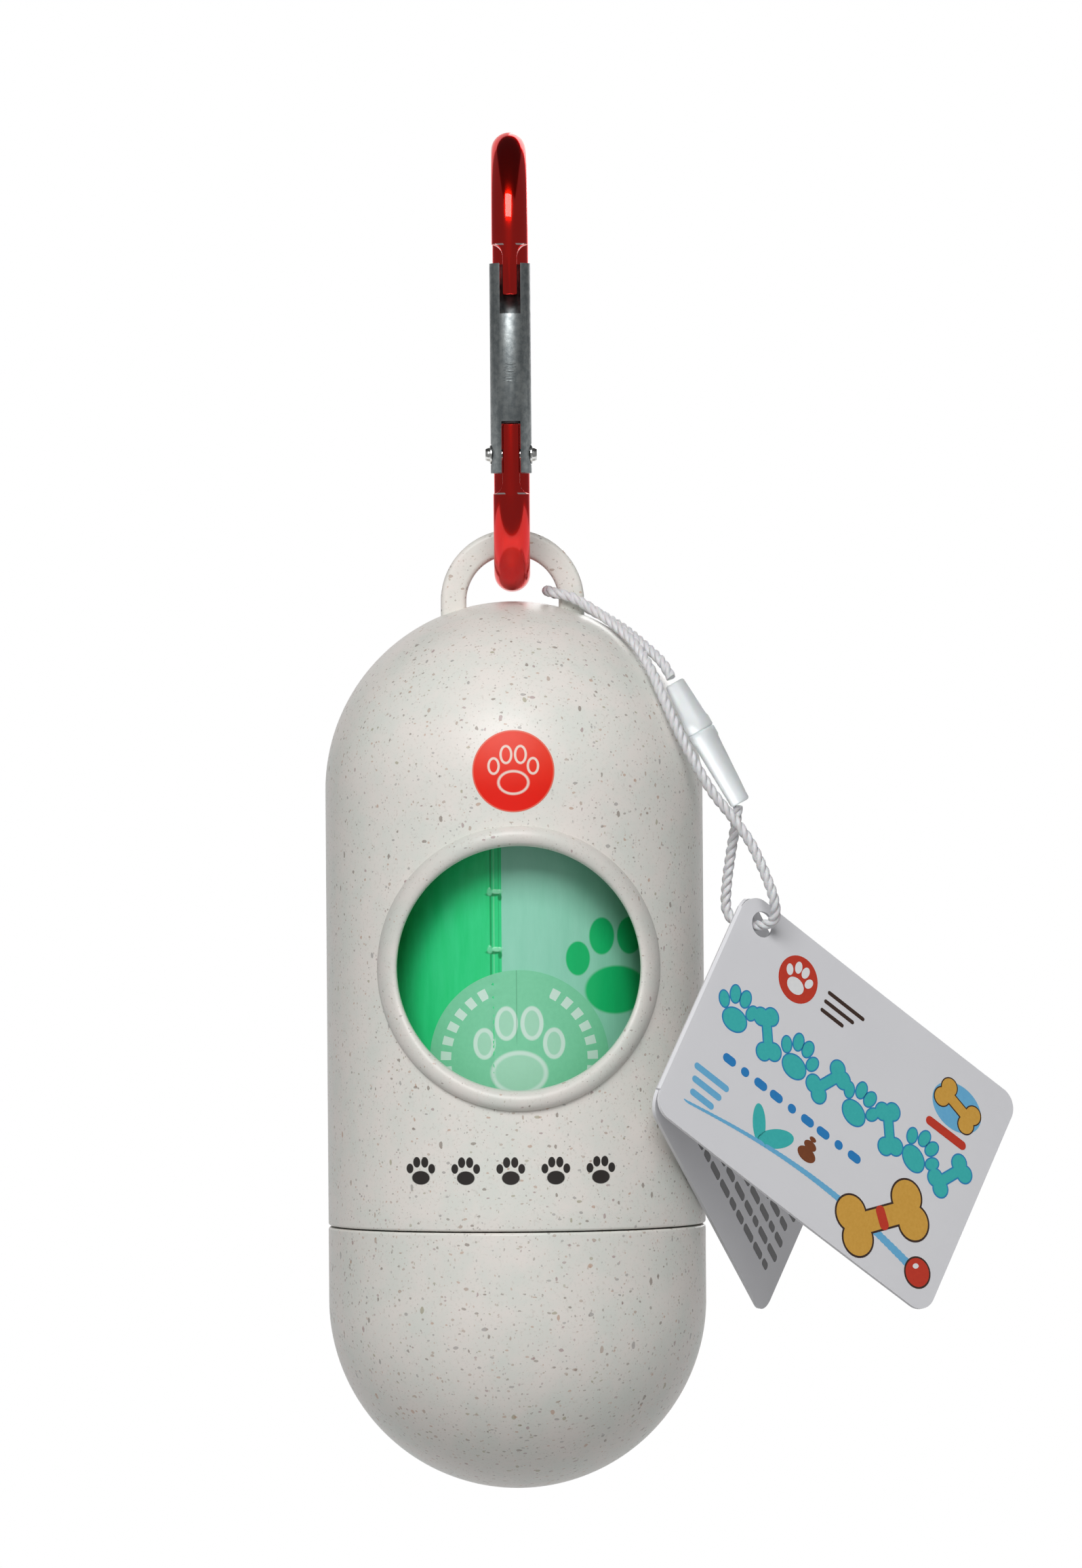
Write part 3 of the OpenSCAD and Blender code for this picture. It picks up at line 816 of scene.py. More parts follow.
# %% Stamped ribs
RIB_COUNT = 6
RIB_R = 0.1 * MM
RIB_STEP = 0.36 * MM
RIB_Z = gate_low.z + 9.6 * MM
RIB_HALF_TURN = 22
RIB_BEND_R = GATE_R - 0.03 * MM
ribs = []
for i in range(RIB_COUNT):
    reach = math.radians(RIB_HALF_TURN * (1 - 0.12 * (i % 3)))
    route = [
        Vector((RIB_BEND_R * math.sin(a), -HALF_W - RIB_BEND_R * math.cos(a), RIB_Z + i * RIB_STEP))
        for a in (reach * (2 * j / 16 - 1) for j in range(17))
    ]
    ribs.append(sweep(
        "gate_rib_%d" % (i + 1), route, arc(0, 0, RIB_R, 0, 330, 11),
        scale=lambda t: max(0.15, math.sin(math.pi * t) ** 0.4),
    ))
hold(ribs[0])
for rib in ribs:
    rib.select_set(True)
bpy.ops.object.join()
gate_ribs = bpy.context.object
gate_ribs.name = "gate_stamped_ribs"
smooth(gate_ribs, 60)
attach(gate_ribs, "gate")
print("ribs", len(gate_ribs.data.polygons), "faces")

# %% [markdown]
# ## Rivet
# Two domed heads with a step under each, on one shank.

# %% Rivet
rivet_low, rivet_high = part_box("gate_rivet")
HEAD_R = (rivet_high.z - rivet_low.z) / 2
HEAD_OUT = rivet_high.x
SHANK_R = 0.6 * MM
half_rivet = [(x, min(y, HEAD_OUT)) for x, y in (
    (0, HEAD_OUT), *arc(0, HEAD_OUT - 0.42 * MM, 0.72 * HEAD_R, 80, 8, 8),
    (0.74 * HEAD_R, HEAD_OUT - 0.44 * MM), (0.95 * HEAD_R, HEAD_OUT - 0.47 * MM),
    (HEAD_R, HEAD_OUT - 0.53 * MM), (HEAD_R, RIVET_FLAT_X + 0.04 * MM),
    (0.96 * HEAD_R, RIVET_FLAT_X), (SHANK_R, RIVET_FLAT_X),
)]
rivet = lathe("gate_rivet_turned", [*half_rivet, *[(x, -y) for x, y in reversed(half_rivet)]], 48)
rivet.location = (0, -HALF_W, RIVET_Z)
rivet.rotation_euler = ALONG_X
smooth(bake_place(rivet), 35)
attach(rivet, "gate")
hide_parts("gate_rivet")
print("rivet %.1f mm over its heads" % (2 * HEAD_OUT / MM))

# %% [markdown]
# ## Tag
# A printed card, punched and cut flat and only then folded, as a printer does it.
# Across the fold it measures twice 40 mm. The same folding is used for the card
# and for the ink that lies on it.

# %% Card lying flat
LEAF_LEN = 40 * MM
LEAF_W = 28 * MM
CARD_T = 0.36 * MM
CARD_ROUND = 2.2 * MM
HOLE_R = 1.4 * MM
HOLE_IN = 3 * MM
HOLE_DOWN = 2.4 * MM
FOLD_OPEN = math.radians(31)
FOLD_R = 0.2 * MM
FOLD_SPAN = (math.pi - FOLD_OPEN) * FOLD_R
CREASE_ZONE = 2.5 * MM
half_card = LEAF_LEN + FOLD_SPAN / 2
start_fresh()
bpy.ops.mesh.primitive_grid_add(x_subdivisions=160, y_subdivisions=36, size=1)
card = bpy.context.object
card.name = "tag_card_folded"
card.scale = (2 * half_card + 1 * MM, LEAF_W + 1 * MM, 1)
card.location = (0, LEAF_W / 2, 0)
bake_place(card)
for vertex in card.data.vertices:
    if abs(vertex.co.x) < CREASE_ZONE:
        vertex.co.x *= abs(vertex.co.x / CREASE_ZONE) ** 0.6
add_modifier(card, "SOLIDIFY", thickness=CARD_T, offset=0)
outer, inner = half_card - CARD_ROUND, FOLD_SPAN / 2 + CARD_ROUND
foot, head = CARD_ROUND, LEAF_W - CARD_ROUND
die_outline = []
for x, y, start in (
    (outer, head, 0), (inner, head, 90), (-inner, head, 0), (-outer, head, 90),
    (-outer, foot, 180), (-inner, foot, 270), (inner, foot, 180), (outer, foot, 270),
):
    die_outline += arc(x, y, CARD_ROUND, start, start + 90, 12)
die = new_object(
    "cutting_die", [(x, y, -1 * MM) for x, y in die_outline], (), [tuple(range(len(die_outline)))]
)
open_mesh(die)
push(2 * MM)
bpy.ops.mesh.select_all(action="SELECT")
bpy.ops.mesh.normals_make_consistent(inside=False)
close_mesh()
carve(card, die, "INTERSECT")
for side in (-1, 1):
    punch_at = (side * (HOLE_IN + FOLD_SPAN / 2), HOLE_DOWN, 0)
    carve(card, peg(HOLE_R, 2 * MM, punch_at, vertices=64))
print("card", len(card.data.polygons), "faces")

# %% Folding
FOLD_DIR = Vector((-0.377, -0.471, -0.797)).normalized()
LEAF_DIR = -Vector((-0.594, 0.783, -0.182)).normalized().cross(FOLD_DIR).normalized()
LEAF_NORMAL = LEAF_DIR.cross(FOLD_DIR)
TAG_BEARING = math.radians(-21)
TAG_CORNER = Vector((
    BODY_R * math.cos(TAG_BEARING) + 6 * MM, BODY_R * math.sin(TAG_BEARING) + 0.2 * MM,
    EYE_Z - 30.8 * MM,
))
CURL = 1 / (1200 * MM)


def fold(point):
    """Where a point of the flat card comes to lie: X across the fold, Y along it, Z out of the card."""
    x, y, out = point
    run = abs(x) - FOLD_SPAN / 2
    if run <= 0:
        angle = -math.pi / 2 - (0.5 - x / FOLD_SPAN) * (math.pi - FOLD_OPEN)
        a, b = turned(FOLD_R + out, 0, angle)
    elif x > 0:
        a, b = run, -(FOLD_R + out) - 0.5 * CURL * run * run
    else:
        a, b = turned(run, FOLD_R + out, FOLD_OPEN)
    return TAG_CORNER + a * LEAF_DIR + y * FOLD_DIR + b * LEAF_NORMAL


for vertex in card.data.vertices:
    vertex.co = fold(vertex.co)
tidy_normals(card, 1e-8)
smooth(card, 40)
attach(card, "tag")
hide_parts("tag_card")
print("leaves %.0f degrees apart" % math.degrees(FOLD_OPEN))

# %% [markdown]
# ## Print on the card
# The print is a layer of ink, cut as thin shapes and laid on the flat card before
# it is folded. Everything is built from two shapes, an oval and a rounded bar:
# paws from ovals, bones from bars and circles. The design is a plain one of our own.

# %% Ink shapes
INK_LIFT = 0.012 * MM
INK_STEP = 0.0018 * MM
PAW = (
    (0, -0.22, 0.31, 0.24, 0), (-0.38, 0.1, 0.12, 0.17, 24), (-0.14, 0.32, 0.125, 0.185, 8),
    (0.14, 0.32, 0.125, 0.185, -8), (0.38, 0.1, 0.12, 0.17, -24),
)
ink_sets = {}


def ink(colour, outline, layer, step=0, leaf=1, face=1):
    """Adds one shape to an ink; its outline is in mm on the leaf.

    Leaf 1 is the front one and -1 the rear one, face 1 is the outer side and -1 the inner
    one. Shapes of one ink that overlap are a small step apart."""
    lift = (CARD_T / 2 + INK_LIFT * layer + INK_STEP * step) * face
    ink_sets.setdefault(colour, []).append([
        (leaf * (x * MM + FOLD_SPAN / 2), y * MM, lift) for x, y in outline
    ])


def placed(x, y, outline, turn=0):
    """An outline turned, in degrees, and moved to (x, y)."""
    return [(x + a, y + b) for a, b in (turned(*p, math.radians(turn)) for p in outline)]


def oval(x, y, rx, ry, turn=0, points=40):
    """Outline of an oval."""
    angles = [math.tau * i / points for i in range(points)]
    return placed(x, y, [(rx * math.cos(a), ry * math.sin(a)) for a in angles], turn)


def bar(x, y, length, width, turn=0):
    """Outline of a bar with round ends."""
    r = width / 2
    half = max(length / 2 - r, 0)
    return placed(x, y, [*arc(half, 0, r, -90, 90, 12), *arc(-half, 0, r, 90, 270, 12)], turn)


def paw(colour, x, y, size, turn=0, grow=0.0, layer=1):
    """Paw print: one pad and four toes."""
    for px, py, rx, ry, tilt in PAW:
        (cx, cy), = placed(x, y, [(px * size, -py * size)], turn)
        ink(colour, oval(cx, cy, rx * size + grow, ry * size + grow, turn - tilt), layer)


def bone(colour, x, y, length, turn=0, grow=0.0, layer=1):
    """Bone: a bar with two knobs at each end."""
    knob = 0.17 * length
    ink(colour, bar(x, y, length - knob, 0.2 * length + 2 * grow, turn), layer)
    knobs = [(ex, ey) for ex in (-1, 1) for ey in (-1, 1)]
    for step, (ex, ey) in enumerate(knobs, 1):
        (cx, cy), = placed(x, y, [(ex * (length / 2 - knob * 0.9), ey * knob * 0.72)], turn)
        ink(colour, oval(cx, cy, knob + grow, knob + grow), layer, step)


# %% Design of the front leaf
LINE = 0.16
for i in range(8):
    for colour, grow, layer in (("ink_blue_line", LINE, 1), ("ink_teal", 0, 2)):
        x = 4.4 + 4.5 * i
        if i % 2:
            bone(colour, x, 12.6, 5.4, 58 if i % 4 == 1 else -58, grow, layer)
        else:
            paw(colour, x, 12.6, 5.0, -10 + 5 * i, grow, layer)
for i in range(9):
    ink("ink_blue", bar(6.0 + 2.3 * i, 17.9, 1.1 if i % 3 == 1 else 1.8, 1.0), 1)
ink("ink_red", oval(9.6, 5.0, 2.6, 2.6), 1)
paw("ink_white", 9.6, 5.0, 3.7, layer=2)
for i in range(3):
    ink("ink_dark", bar(16.2 - 0.5 * i, 3.9 + 1.1 * i, 5.4 - i, 0.45), 1)
    ink("ink_sky", bar(4.9, 20.9 + 1.4 * i, 5.0 - 0.8 * i, 0.75), 1)
ink("ink_sky", oval(33.4, 5.4, 3.4, 2.5), 1)
ink("ink_red", bar(33.4, 8.7, 5.8, 1.0), 2)
WAVE_STEPS = 60
for i in range(WAVE_STEPS):
    a = i / (WAVE_STEPS - 1)
    x, y = 3.5 + 34.5 * a, 25.4 - 2.4 * math.sin(math.pi * (0.05 + 0.85 * a))
    ink("ink_sky", oval(x, y, 0.6, 0.12 + 0.42 * a, 0, 16), 1, i % 6)
for x, y, size, turn, rim_grow in ((33.4, 5.2, 5.9, 14, 0.14), (30.4, 21.7, 11.2, -46, 0.22)):
    bone("ink_dark", x, y, size, turn, rim_grow, layer=2)
    bone("ink_amber", x, y, size, turn, layer=3)
ink("ink_red", bar(30.4, 21.7, 2.7, 1.2, 44), 4)
ink("ink_dark", oval(36.9, 24.4, 1.75, 1.75), 2)
ink("ink_red", oval(36.9, 24.4, 1.55, 1.55), 3)
ink("ink_white", oval(36.4, 23.9, 0.4, 0.28, -40), 4)
ink("ink_teal", oval(12.3, 21.7, 2.1, 0.85, -118), 1)
ink("ink_teal", oval(14.9, 22.0, 2.4, 1.05, -36), 1)
for step, (y, r) in enumerate(((21.2, 1.25), (20.1, 0.85), (19.3, 0.45)), 2):
    ink("ink_brown", oval(19.0, y, r, 0.62 * r), 1, step)

# %% [markdown]
# The rear leaf carries plain grey bars on its inner face, and a paw outside.

# %% Design of the rear leaf, then all inks as pieces
for row in range(12):
    x, count = 2.6, 0
    while x < 36.5:
        long = 1.4 + 1.7 * abs(math.sin(5.1 * row + 2.3 * count + 0.4))
        if 4.2 < x or row > 3:
            ink("ink_grey", bar(x + long / 2, 4.2 + 1.8 * row, long, 0.85), 1, leaf=-1, face=-1)
        x += long + 0.45
        count += 1
for pad in ((21, 16, 5.2, 4.2), (14.6, 12, 1.9, 2.9, 10), (18.6, 8.6, 1.9, 2.9, 5),
            (23.4, 8.6, 1.9, 2.9, -5), (27.4, 12, 1.9, 2.9, -10)):
    ink("ink_teal", oval(*pad), 1, leaf=-1)
ink_pieces = {}
for colour, shapes in ink_sets.items():
    verts, faces = [], []
    for shape in shapes:
        first, n = len(verts), len(shape)
        verts += [[sum(c) / n for c in zip(*shape)], *shape]
        faces += [(first, first + 1 + i, first + 1 + (i + 1) % n) for i in range(n)]
    obj = new_object("tag_" + colour, [fold(v) for v in verts], (), faces)
    smooth(obj, 60)
    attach(obj, "tag")
    ink_pieces[colour] = obj
print("inks:", {k: len(v) for k, v in ink_sets.items()})

# %% [markdown]
# ## String's route
# With the lock and the card in place, the number of points on the string's route is printed.

print("cord of %d points" % len(string_path))

# %% [markdown]
# ## Materials
# Every finish is a small node tree that ends in one shader. All patterns read object
# coordinates, so they stay on the pieces when those move. The specks of the straw
# plastic are a node group, because several finishes share them.

# %% Helpers for node trees
def srgb(r, g, b):
    """Colour given as the eye sees it, 0 to 255, as the linear values a shader takes."""
    parts = [c / 255 for c in (r, g, b)]
    return (*[c / 12.92 if c <= 0.04045 else ((c + 0.055) / 1.055) ** 2.4 for c in parts], 1)


class Tree:
    """A node tree with short ways to add and join nodes."""

    def __init__(self, tree):
        self.tree = tree
        tree.nodes.clear()

    def feed(self, node, inputs):
        """Fills a node's inputs: an output is linked, anything else is set as a value."""
        for name, value in inputs.items():
            if isinstance(value, bpy.types.NodeSocket):
                self.tree.links.new(value, node.inputs[name])
            else:
                node.inputs[name].default_value = value

    def add(self, kind, inputs=(), **settings):
        """Adds a node, sets its properties and fills its inputs."""
        node = self.tree.nodes.new("ShaderNode" + kind)
        for name, value in settings.items():
            setattr(node, name, value)
        self.feed(node, dict(inputs))
        return node

    def math(self, operation, a, b=0.5, clamp=False):
        """One step of arithmetic."""
        return self.add("Math", {0: a, 1: b}, operation=operation, use_clamp=clamp).outputs[0]

    def times(self, a, b):
        """Product."""
        return self.math("MULTIPLY", a, b)

    def minus(self, a, b, clamp=False):
        """Difference."""
        return self.math("SUBTRACT", a, b, clamp)

    def mix(self, factor, a, b):
        """Blends two colours."""
        return self.add("Mix", {0: factor, 6: a, 7: b}, data_type="RGBA").outputs[2]

    def over(self, colour, shade, mask, strength=1.0):
        """Prints a shade over a colour where the mask is."""
        return self.mix(self.times(mask, strength), colour, srgb(*shade))

    def ramp(self, value, low, high):
        """Soft step from 0 at low to 1 at high."""
        return self.add(
            "MapRange", {"Value": value, "From Min": low, "From Max": high},
            interpolation_type="SMOOTHSTEP",
        ).outputs["Result"]

    def between(self, value, low, high):
        """Runs from low to high as the value goes from 0 to 1."""
        inputs = {"Value": value, "To Min": low, "To Max": high}
        return self.add("MapRange", inputs).outputs["Result"]

    def place(self, stretch=(1, 1, 1)):
        """Object coordinates, stretched."""
        coords = self.add("TexCoord").outputs["Object"]
        return self.add("Mapping", {"Vector": coords, "Scale": stretch}).outputs[0]

    def noise(self, scale, detail=2.0, rough=0.5, stretch=(1, 1, 1)):
        """Noise between 0 and 1."""
        return self.add("TexNoise", {
            "Vector": self.place(stretch), "Scale": scale, "Detail": detail, "Roughness": rough,
        }).outputs[0]

    def coordinates(self):
        """X, Y and Z of the shading point."""
        return self.add("SeparateXYZ", {0: self.add("TexCoord").outputs["Object"]}).outputs


def coat(material, *pieces):
    """Gives pieces their one material."""
    for piece in pieces:
        piece.data.materials.clear()
        piece.data.materials.append(material)
        print(material.name, "on", piece.name)


def bare_material(name):
    """New material with an empty tree."""
    material = bpy.data.materials.new(name)
    material.use_nodes = True
    return material, Tree(material.node_tree)


class Finish(Tree):
    """A material with one Principled shader."""

    def __init__(self, name):
        self.material, bare = bare_material(name)
        self.tree = bare.tree
        self.shader = self.add("BsdfPrincipled")
        self.add("OutputMaterial", {0: self.shader.outputs[0]})

    def surface(self, colour, rough, relief, strength, depth, **more):
        """Feeds the shader its colour, roughness and relief, and what else is named."""
        bump = self.add("Bump", {"Height": relief, "Strength": strength, "Distance": depth})
        self.feed(self.shader, {
            "Base Color": colour, "Roughness": rough, "Normal": bump.outputs[0],
            **{name.replace("_", " "): value for name, value in more.items()},
        })
        return self.material


# %% [markdown]
# Straw plastic is an off-white plastic with ground husks in it. A husk is the middle
# of a cell. Four layers of cells, of several sizes and directions, give short chips
# and long fibres, each with a colour of its own.

# %% Speck group
speck_group = bpy.data.node_groups.new("husk_specks", "ShaderNodeTree")
speck = Tree(speck_group)
for label, kind, way in (
    ("Scale", "Float", "INPUT"), ("Size", "Float", "INPUT"), ("Share", "Float", "INPUT"),
    ("Stretch", "Vector", "INPUT"), ("Turn", "Vector", "INPUT"),
    ("Mask", "Float", "OUTPUT"), ("Tint", "Float", "OUTPUT"),
):
    speck_group.interface.new_socket(label, in_out=way, socket_type="NodeSocket" + kind)
s_in = speck_group.nodes.new("NodeGroupInput").outputs
spot = speck.add("TexCoord").outputs["Object"]
wobble = speck.add("TexNoise", {"Vector": spot, "Scale": 1600.0, "Detail": 2.0})
WOBBLE = 0.3 * MM
bent = speck.add("VectorMath", {
    0: wobble.outputs["Color"], 1: (WOBBLE, WOBBLE, WOBBLE), 2: spot,
}, operation="MULTIPLY_ADD").outputs[0]
laid = speck.add("Mapping", {"Vector": bent, "Scale": s_in["Stretch"], "Rotation": s_in["Turn"]})
cells = speck.add("TexVoronoi", {"Vector": laid.outputs[0], "Scale": s_in["Scale"]})
channels = speck.add("SeparateColor", {0: cells.outputs["Color"]}).outputs
chosen = speck.math("LESS_THAN", channels[0], s_in["Share"])
reach = speck.times(speck.math("POWER", channels[1], 1.1), s_in["Size"])
edge = speck.ramp(speck.minus(reach, cells.outputs["Distance"]), 0.0, 0.06)
speck.feed(speck_group.nodes.new("NodeGroupOutput"), {
    "Mask": speck.times(edge, chosen), "Tint": channels[2],
})


# %% Masks of plain printed shapes
def offsets(tree, cx, cz):
    """How far the shading point is from (cx, cz) along X and Z, seen from the front."""
    x, _, z = tree.coordinates()
    return tree.minus(x, cx), tree.minus(z, cz)


def front_only(tree):
    """1 on the side that faces the camera, 0 behind."""
    return tree.math("LESS_THAN", tree.coordinates()[1], 0.0)


def length_of(tree, u, v):
    """Length of the line (u, v)."""
    return tree.math("SQRT", tree.math("ADD", tree.times(u, u), tree.times(v, v)))


def oval_mask(tree, u, v, cx, cy, rx, ry, soft=0.05):
    """Filled oval round (cx, cy): 1 inside, 0 outside, with a soft edge."""
    du = tree.math("DIVIDE", tree.minus(u, cx), rx)
    dv = tree.math("DIVIDE", tree.minus(v, cy), ry)
    return tree.minus(1.0, tree.ramp(length_of(tree, du, dv), 1 - soft, 1 + soft))


def ring_mask(tree, u, v, r, half):
    """Thin ring round the middle."""
    outside, inside = [oval_mask(tree, u, v, 0, 0, a, a, 0.02) for a in (r + half, r - half)]
    return tree.minus(outside, inside, True)


def paw_mask(tree, u, v, size, line_width=0.0):
    """Paw print round the middle; with a line width it is only its outline."""
    total = 0.0
    for px, py, rx, ry, _ in PAW:
        px, py, rx, ry = px * size, py * size, rx * size, ry * size
        shape = oval_mask(tree, u, v, px, py, rx, ry, 0.07)
        if line_width:
            core = oval_mask(tree, u, v, px, py, rx - line_width, ry - line_width, 0.07)
            shape = tree.minus(shape, core, True)
        total = tree.math("MAXIMUM", shape, total)
    return total


def upright_line(tree, u, x, half):
    """Upright line at x, with soft edges."""
    off = tree.math("ABSOLUTE", tree.minus(u, x))
    return tree.minus(1.0, tree.ramp(off, 0.4 * half, 1.2 * half))


# %% Row of printed paws
PRINT_SIZE = 3.0 * MM
PRINT_PITCH = 4.7 * MM
PRINT_COUNT = 5
PRINT_MIDDLE = photo_point(749, 1717)


def paw_row(tree, colour):
    """Prints a row of small black paws under the window."""
    u, v = offsets(tree, PRINT_MIDDLE.x, PRINT_MIDDLE.z)
    steps = tree.math("ROUND", tree.math("DIVIDE", u, PRINT_PITCH))
    near = tree.minus(u, tree.times(steps, PRINT_PITCH))
    in_row = tree.math("LESS_THAN", tree.math("ABSOLUTE", steps), PRINT_COUNT / 2)
    mask = tree.times(paw_mask(tree, near, v, PRINT_SIZE), front_only(tree))
    return tree.over(colour, (44, 40, 38), mask, in_row)


# %% Straw plastic
HUSK_LAYERS = (
    (1150.0, (1.0, 1.0, 0.55), (0.0, 0.35, 0.0), 0.42, 0.27, 0.64),
    (1350.0, (0.55, 1.0, 1.0), (0.0, 0.5, 0.4), 0.5, 0.27, 0.62),
    (2000.0, (0.6, 1.0, 1.0), (0.3, 0.0, 0.9), 0.66, 0.3, 0.52),
    (3000.0, (1.0, 1.0, 0.7), (0.6, 0.2, 0.0), 0.7, 0.32, 0.42),
)
HUSK_TINTS = (
    (0.0, (116, 96, 82)), (0.2, (172, 148, 132)), (0.42, (150, 144, 142)),
    (0.6, (186, 146, 120)), (0.76, (160, 128, 130)), (0.88, (156, 148, 116)),
)


def straw_plastic(name, density, size, tone=1.0, printed=None):
    """Off-white plastic with husks; density is how many there are, size how large they are, and a tone
    below 1 darkens it as painted shade.
    """
    skin = Finish(name)
    warm, cool = [[c * tone for c in shade] for shade in ((236, 230, 224), (225, 227, 220))]
    cloud = skin.ramp(skin.noise(190.0, 5.0, 0.65), 0.3, 0.7)
    colour = skin.mix(cloud, srgb(*warm), srgb(*cool))
    colour = skin.over(colour, (186, 176, 166), skin.ramp(skin.noise(3400.0), 0.56, 0.76), 0.3)
    for scale, stretch, turn, share, reach, strength in HUSK_LAYERS:
        husks = skin.add("Group", node_tree=speck_group)
        skin.feed(husks, {
            "Scale": scale / size, "Size": reach, "Share": share * density,
            "Stretch": stretch, "Turn": turn,
        })
        tint = skin.add("ValToRGB", {0: husks.outputs["Tint"]})
        stops = tint.color_ramp.elements
        tint.color_ramp.interpolation = "CONSTANT"
        stops[1].position = HUSK_TINTS[1][0]
        for i, (position, shade) in enumerate(HUSK_TINTS):
            stop = stops[i] if i < 2 else stops.new(position)
            stop.color = srgb(*shade)
        colour = skin.mix(skin.times(husks.outputs["Mask"], strength), colour, tint.outputs[0])
    if printed:
        colour = printed(skin, colour)
    relief = skin.math("ADD", skin.noise(160.0), skin.times(skin.noise(3500.0, 1.0), 0.12))
    return skin.surface(colour, 0.38, relief, 0.25, 0.1 * MM, Specular_IOR_Level=0.42)


coat(straw_plastic("straw_plastic_shell", 1.0, 1.0, printed=paw_row), housing)
# The rim and the cap are made a little darker by their tone: painted shade.
coat(straw_plastic("straw_plastic_rim", 0.5, 0.9, 0.97), rim)
coat(straw_plastic("straw_plastic_cap", 1.35, 1.16, 0.98), cap)

# %% Printed disc
ink_skin = Finish("disc_print")
grain = ink_skin.noise(1500.0, 3.0)
u, v = offsets(ink_skin, 0.0, DISC_Z)
# The red turns lighter and more orange towards the top of the disc: painted light.
painted_top_light = ink_skin.ramp(v, -0.8 * DISC_R, 0.9 * DISC_R)
red = ink_skin.mix(painted_top_light, srgb(238, 22, 4), srgb(240, 60, 34))
red = ink_skin.over(red, (206, 44, 24), grain, 0.25)
red = ink_skin.over(red, (230, 130, 110), ring_mask(ink_skin, u, v, DISC_R - 0.06 * MM, 0.05 * MM))
red = ink_skin.over(red, (238, 214, 202), paw_mask(ink_skin, u, v, 5.4 * MM, 0.24 * MM))
coat(ink_skin.surface(red, 0.42, grain, 0.1, 0.05 * MM, Specular_IOR_Level=0.25), disc)

# %% [markdown]
# Anodised aluminium is metal under a dyed skin. Its colour is the metal's reflection,
# so it needs something to reflect more than it needs detail. Fine drawing marks run
# along the rod, and the milled edges are bare. The gate is plain rolled sheet, mottled
# and dull.

# %% Rod and gate
rod_skin = Finish("red_anodised_rod")
streaks = rod_skin.noise(2200.0, 3.0, stretch=(1, 1, 0.08))
red = rod_skin.mix(rod_skin.noise(260.0, 3.0), srgb(222, 22, 3), srgb(204, 14, 2))
milled = rod_skin.add("Attribute", attribute_name="bare_edge").outputs["Fac"]
red = rod_skin.over(red, (226, 214, 212), rod_skin.ramp(milled, 0.15, 0.75))
coat(rod_skin.surface(
    red, rod_skin.between(streaks, 0.15, 0.24), streaks, 0.12, 0.03 * MM, Metallic=1,
    Specular_Tint=srgb(255, 96, 70), Coat_Weight=0.36, Coat_IOR=1.77, Coat_Roughness=0.03,
), rod)

gate_skin = Finish("rolled_gate_sheet")
mottle = gate_skin.noise(1300.0, 4.0, 0.65)
marks = gate_skin.noise(1800.0, stretch=(1, 1, 0.12))
tone = gate_skin.math("ADD", gate_skin.times(mottle, 0.65), gate_skin.times(marks, 0.35))
grey = gate_skin.mix(gate_skin.ramp(tone, 0.35, 0.68), srgb(118, 124, 126), srgb(158, 163, 163))
dull = gate_skin.between(mottle, 0.52, 0.36)
coat(gate_skin.surface(grey, dull, mottle, 0.35, 0.06 * MM, Metallic=1), gate, gate_ribs)


# %% [markdown]
# The small pieces need only one pattern each, which runs between two tones: steel, the
# plunger's plastic, and the milky plastic of the lock, which lets some light through.

# %% Finishes of one pattern
def plain_finish(name, tones, rough, pattern, strength, depth, **more):
    """Finish that runs between two tones along one pattern, with a relief of it.

    The pattern is the noise's scale, detail and stretch. The roughness may be a pair, and
    then it follows the pattern too."""
    skin = Finish(name)
    scale, detail, stretch = pattern
    grain = skin.noise(scale, detail, stretch=stretch)
    if isinstance(rough, tuple):
        rough = skin.between(grain, *rough)
    colour = skin.mix(grain, *[srgb(*tone) for tone in tones])
    return skin.surface(colour, rough, grain, strength, depth, **more)


EVEN = (1, 1, 1)
coat(plain_finish(
    "rivet_steel_bright", ((226, 226, 224), (196, 196, 194)), (0.12, 0.32), (2600.0, 3.0, EVEN),
    0.15, 0.03 * MM, Metallic=1,
), rivet)
coat(plain_finish(
    "spring_wire_drawn", ((170, 172, 176), (120, 122, 126)), 0.3, (3000.0, 3.0, (1, 1, 3)),
    0.2, 0.03 * MM, Metallic=1,
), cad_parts["gate_spring"])
coat(plain_finish(
    "plunger_plastic_grey", ((96, 97, 100), (120, 121, 124)), 0.4, (1500.0, 2.0, (0.3, 0.3, 4)),
    0.3, 0.04 * MM,
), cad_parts["gate_plunger"])
coat(plain_finish(
    "clear_lock_milky", ((250, 252, 253), (238, 243, 245)), 0.48, (700.0, 3.0, (1, 1, 0.3)),
    0.2, 0.1 * MM, Transmission_Weight=0.55, Subsurface_Weight=0.2, Subsurface_Scale=1 * MM,
), lock_plug, lock_socket)

# %% [markdown]
# ## Core
# The core is a tube of spirally wound card, hidden inside the roll. A wave texture
# draws the seam between its turns.

# %% Core card
core_skin = Finish("core_card_wound")
fibre = core_skin.noise(1400.0, 4.0, stretch=(1, 1, 0.25))
seam = core_skin.add("TexWave", {
    "Vector": core_skin.place(), "Scale": 9.0, "Distortion": 0.4, "Detail": 1.0,
}, wave_type="BANDS", bands_direction="DIAGONAL").outputs["Fac"]
brown = core_skin.mix(fibre, srgb(196, 168, 132), srgb(168, 140, 106))
brown = core_skin.over(brown, (116, 92, 66), core_skin.ramp(seam, 0.93, 1.0), 0.5)
coat(core_skin.surface(brown, 0.85, fibre, 0.3, 0.1 * MM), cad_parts["roll_core"])

# %% [markdown]
# ## Film and sticker
# The film is thin and glossy, with long upright wrinkles. To the right of its edge
# a paler panel is printed on it, with one large paw in the film's own green.

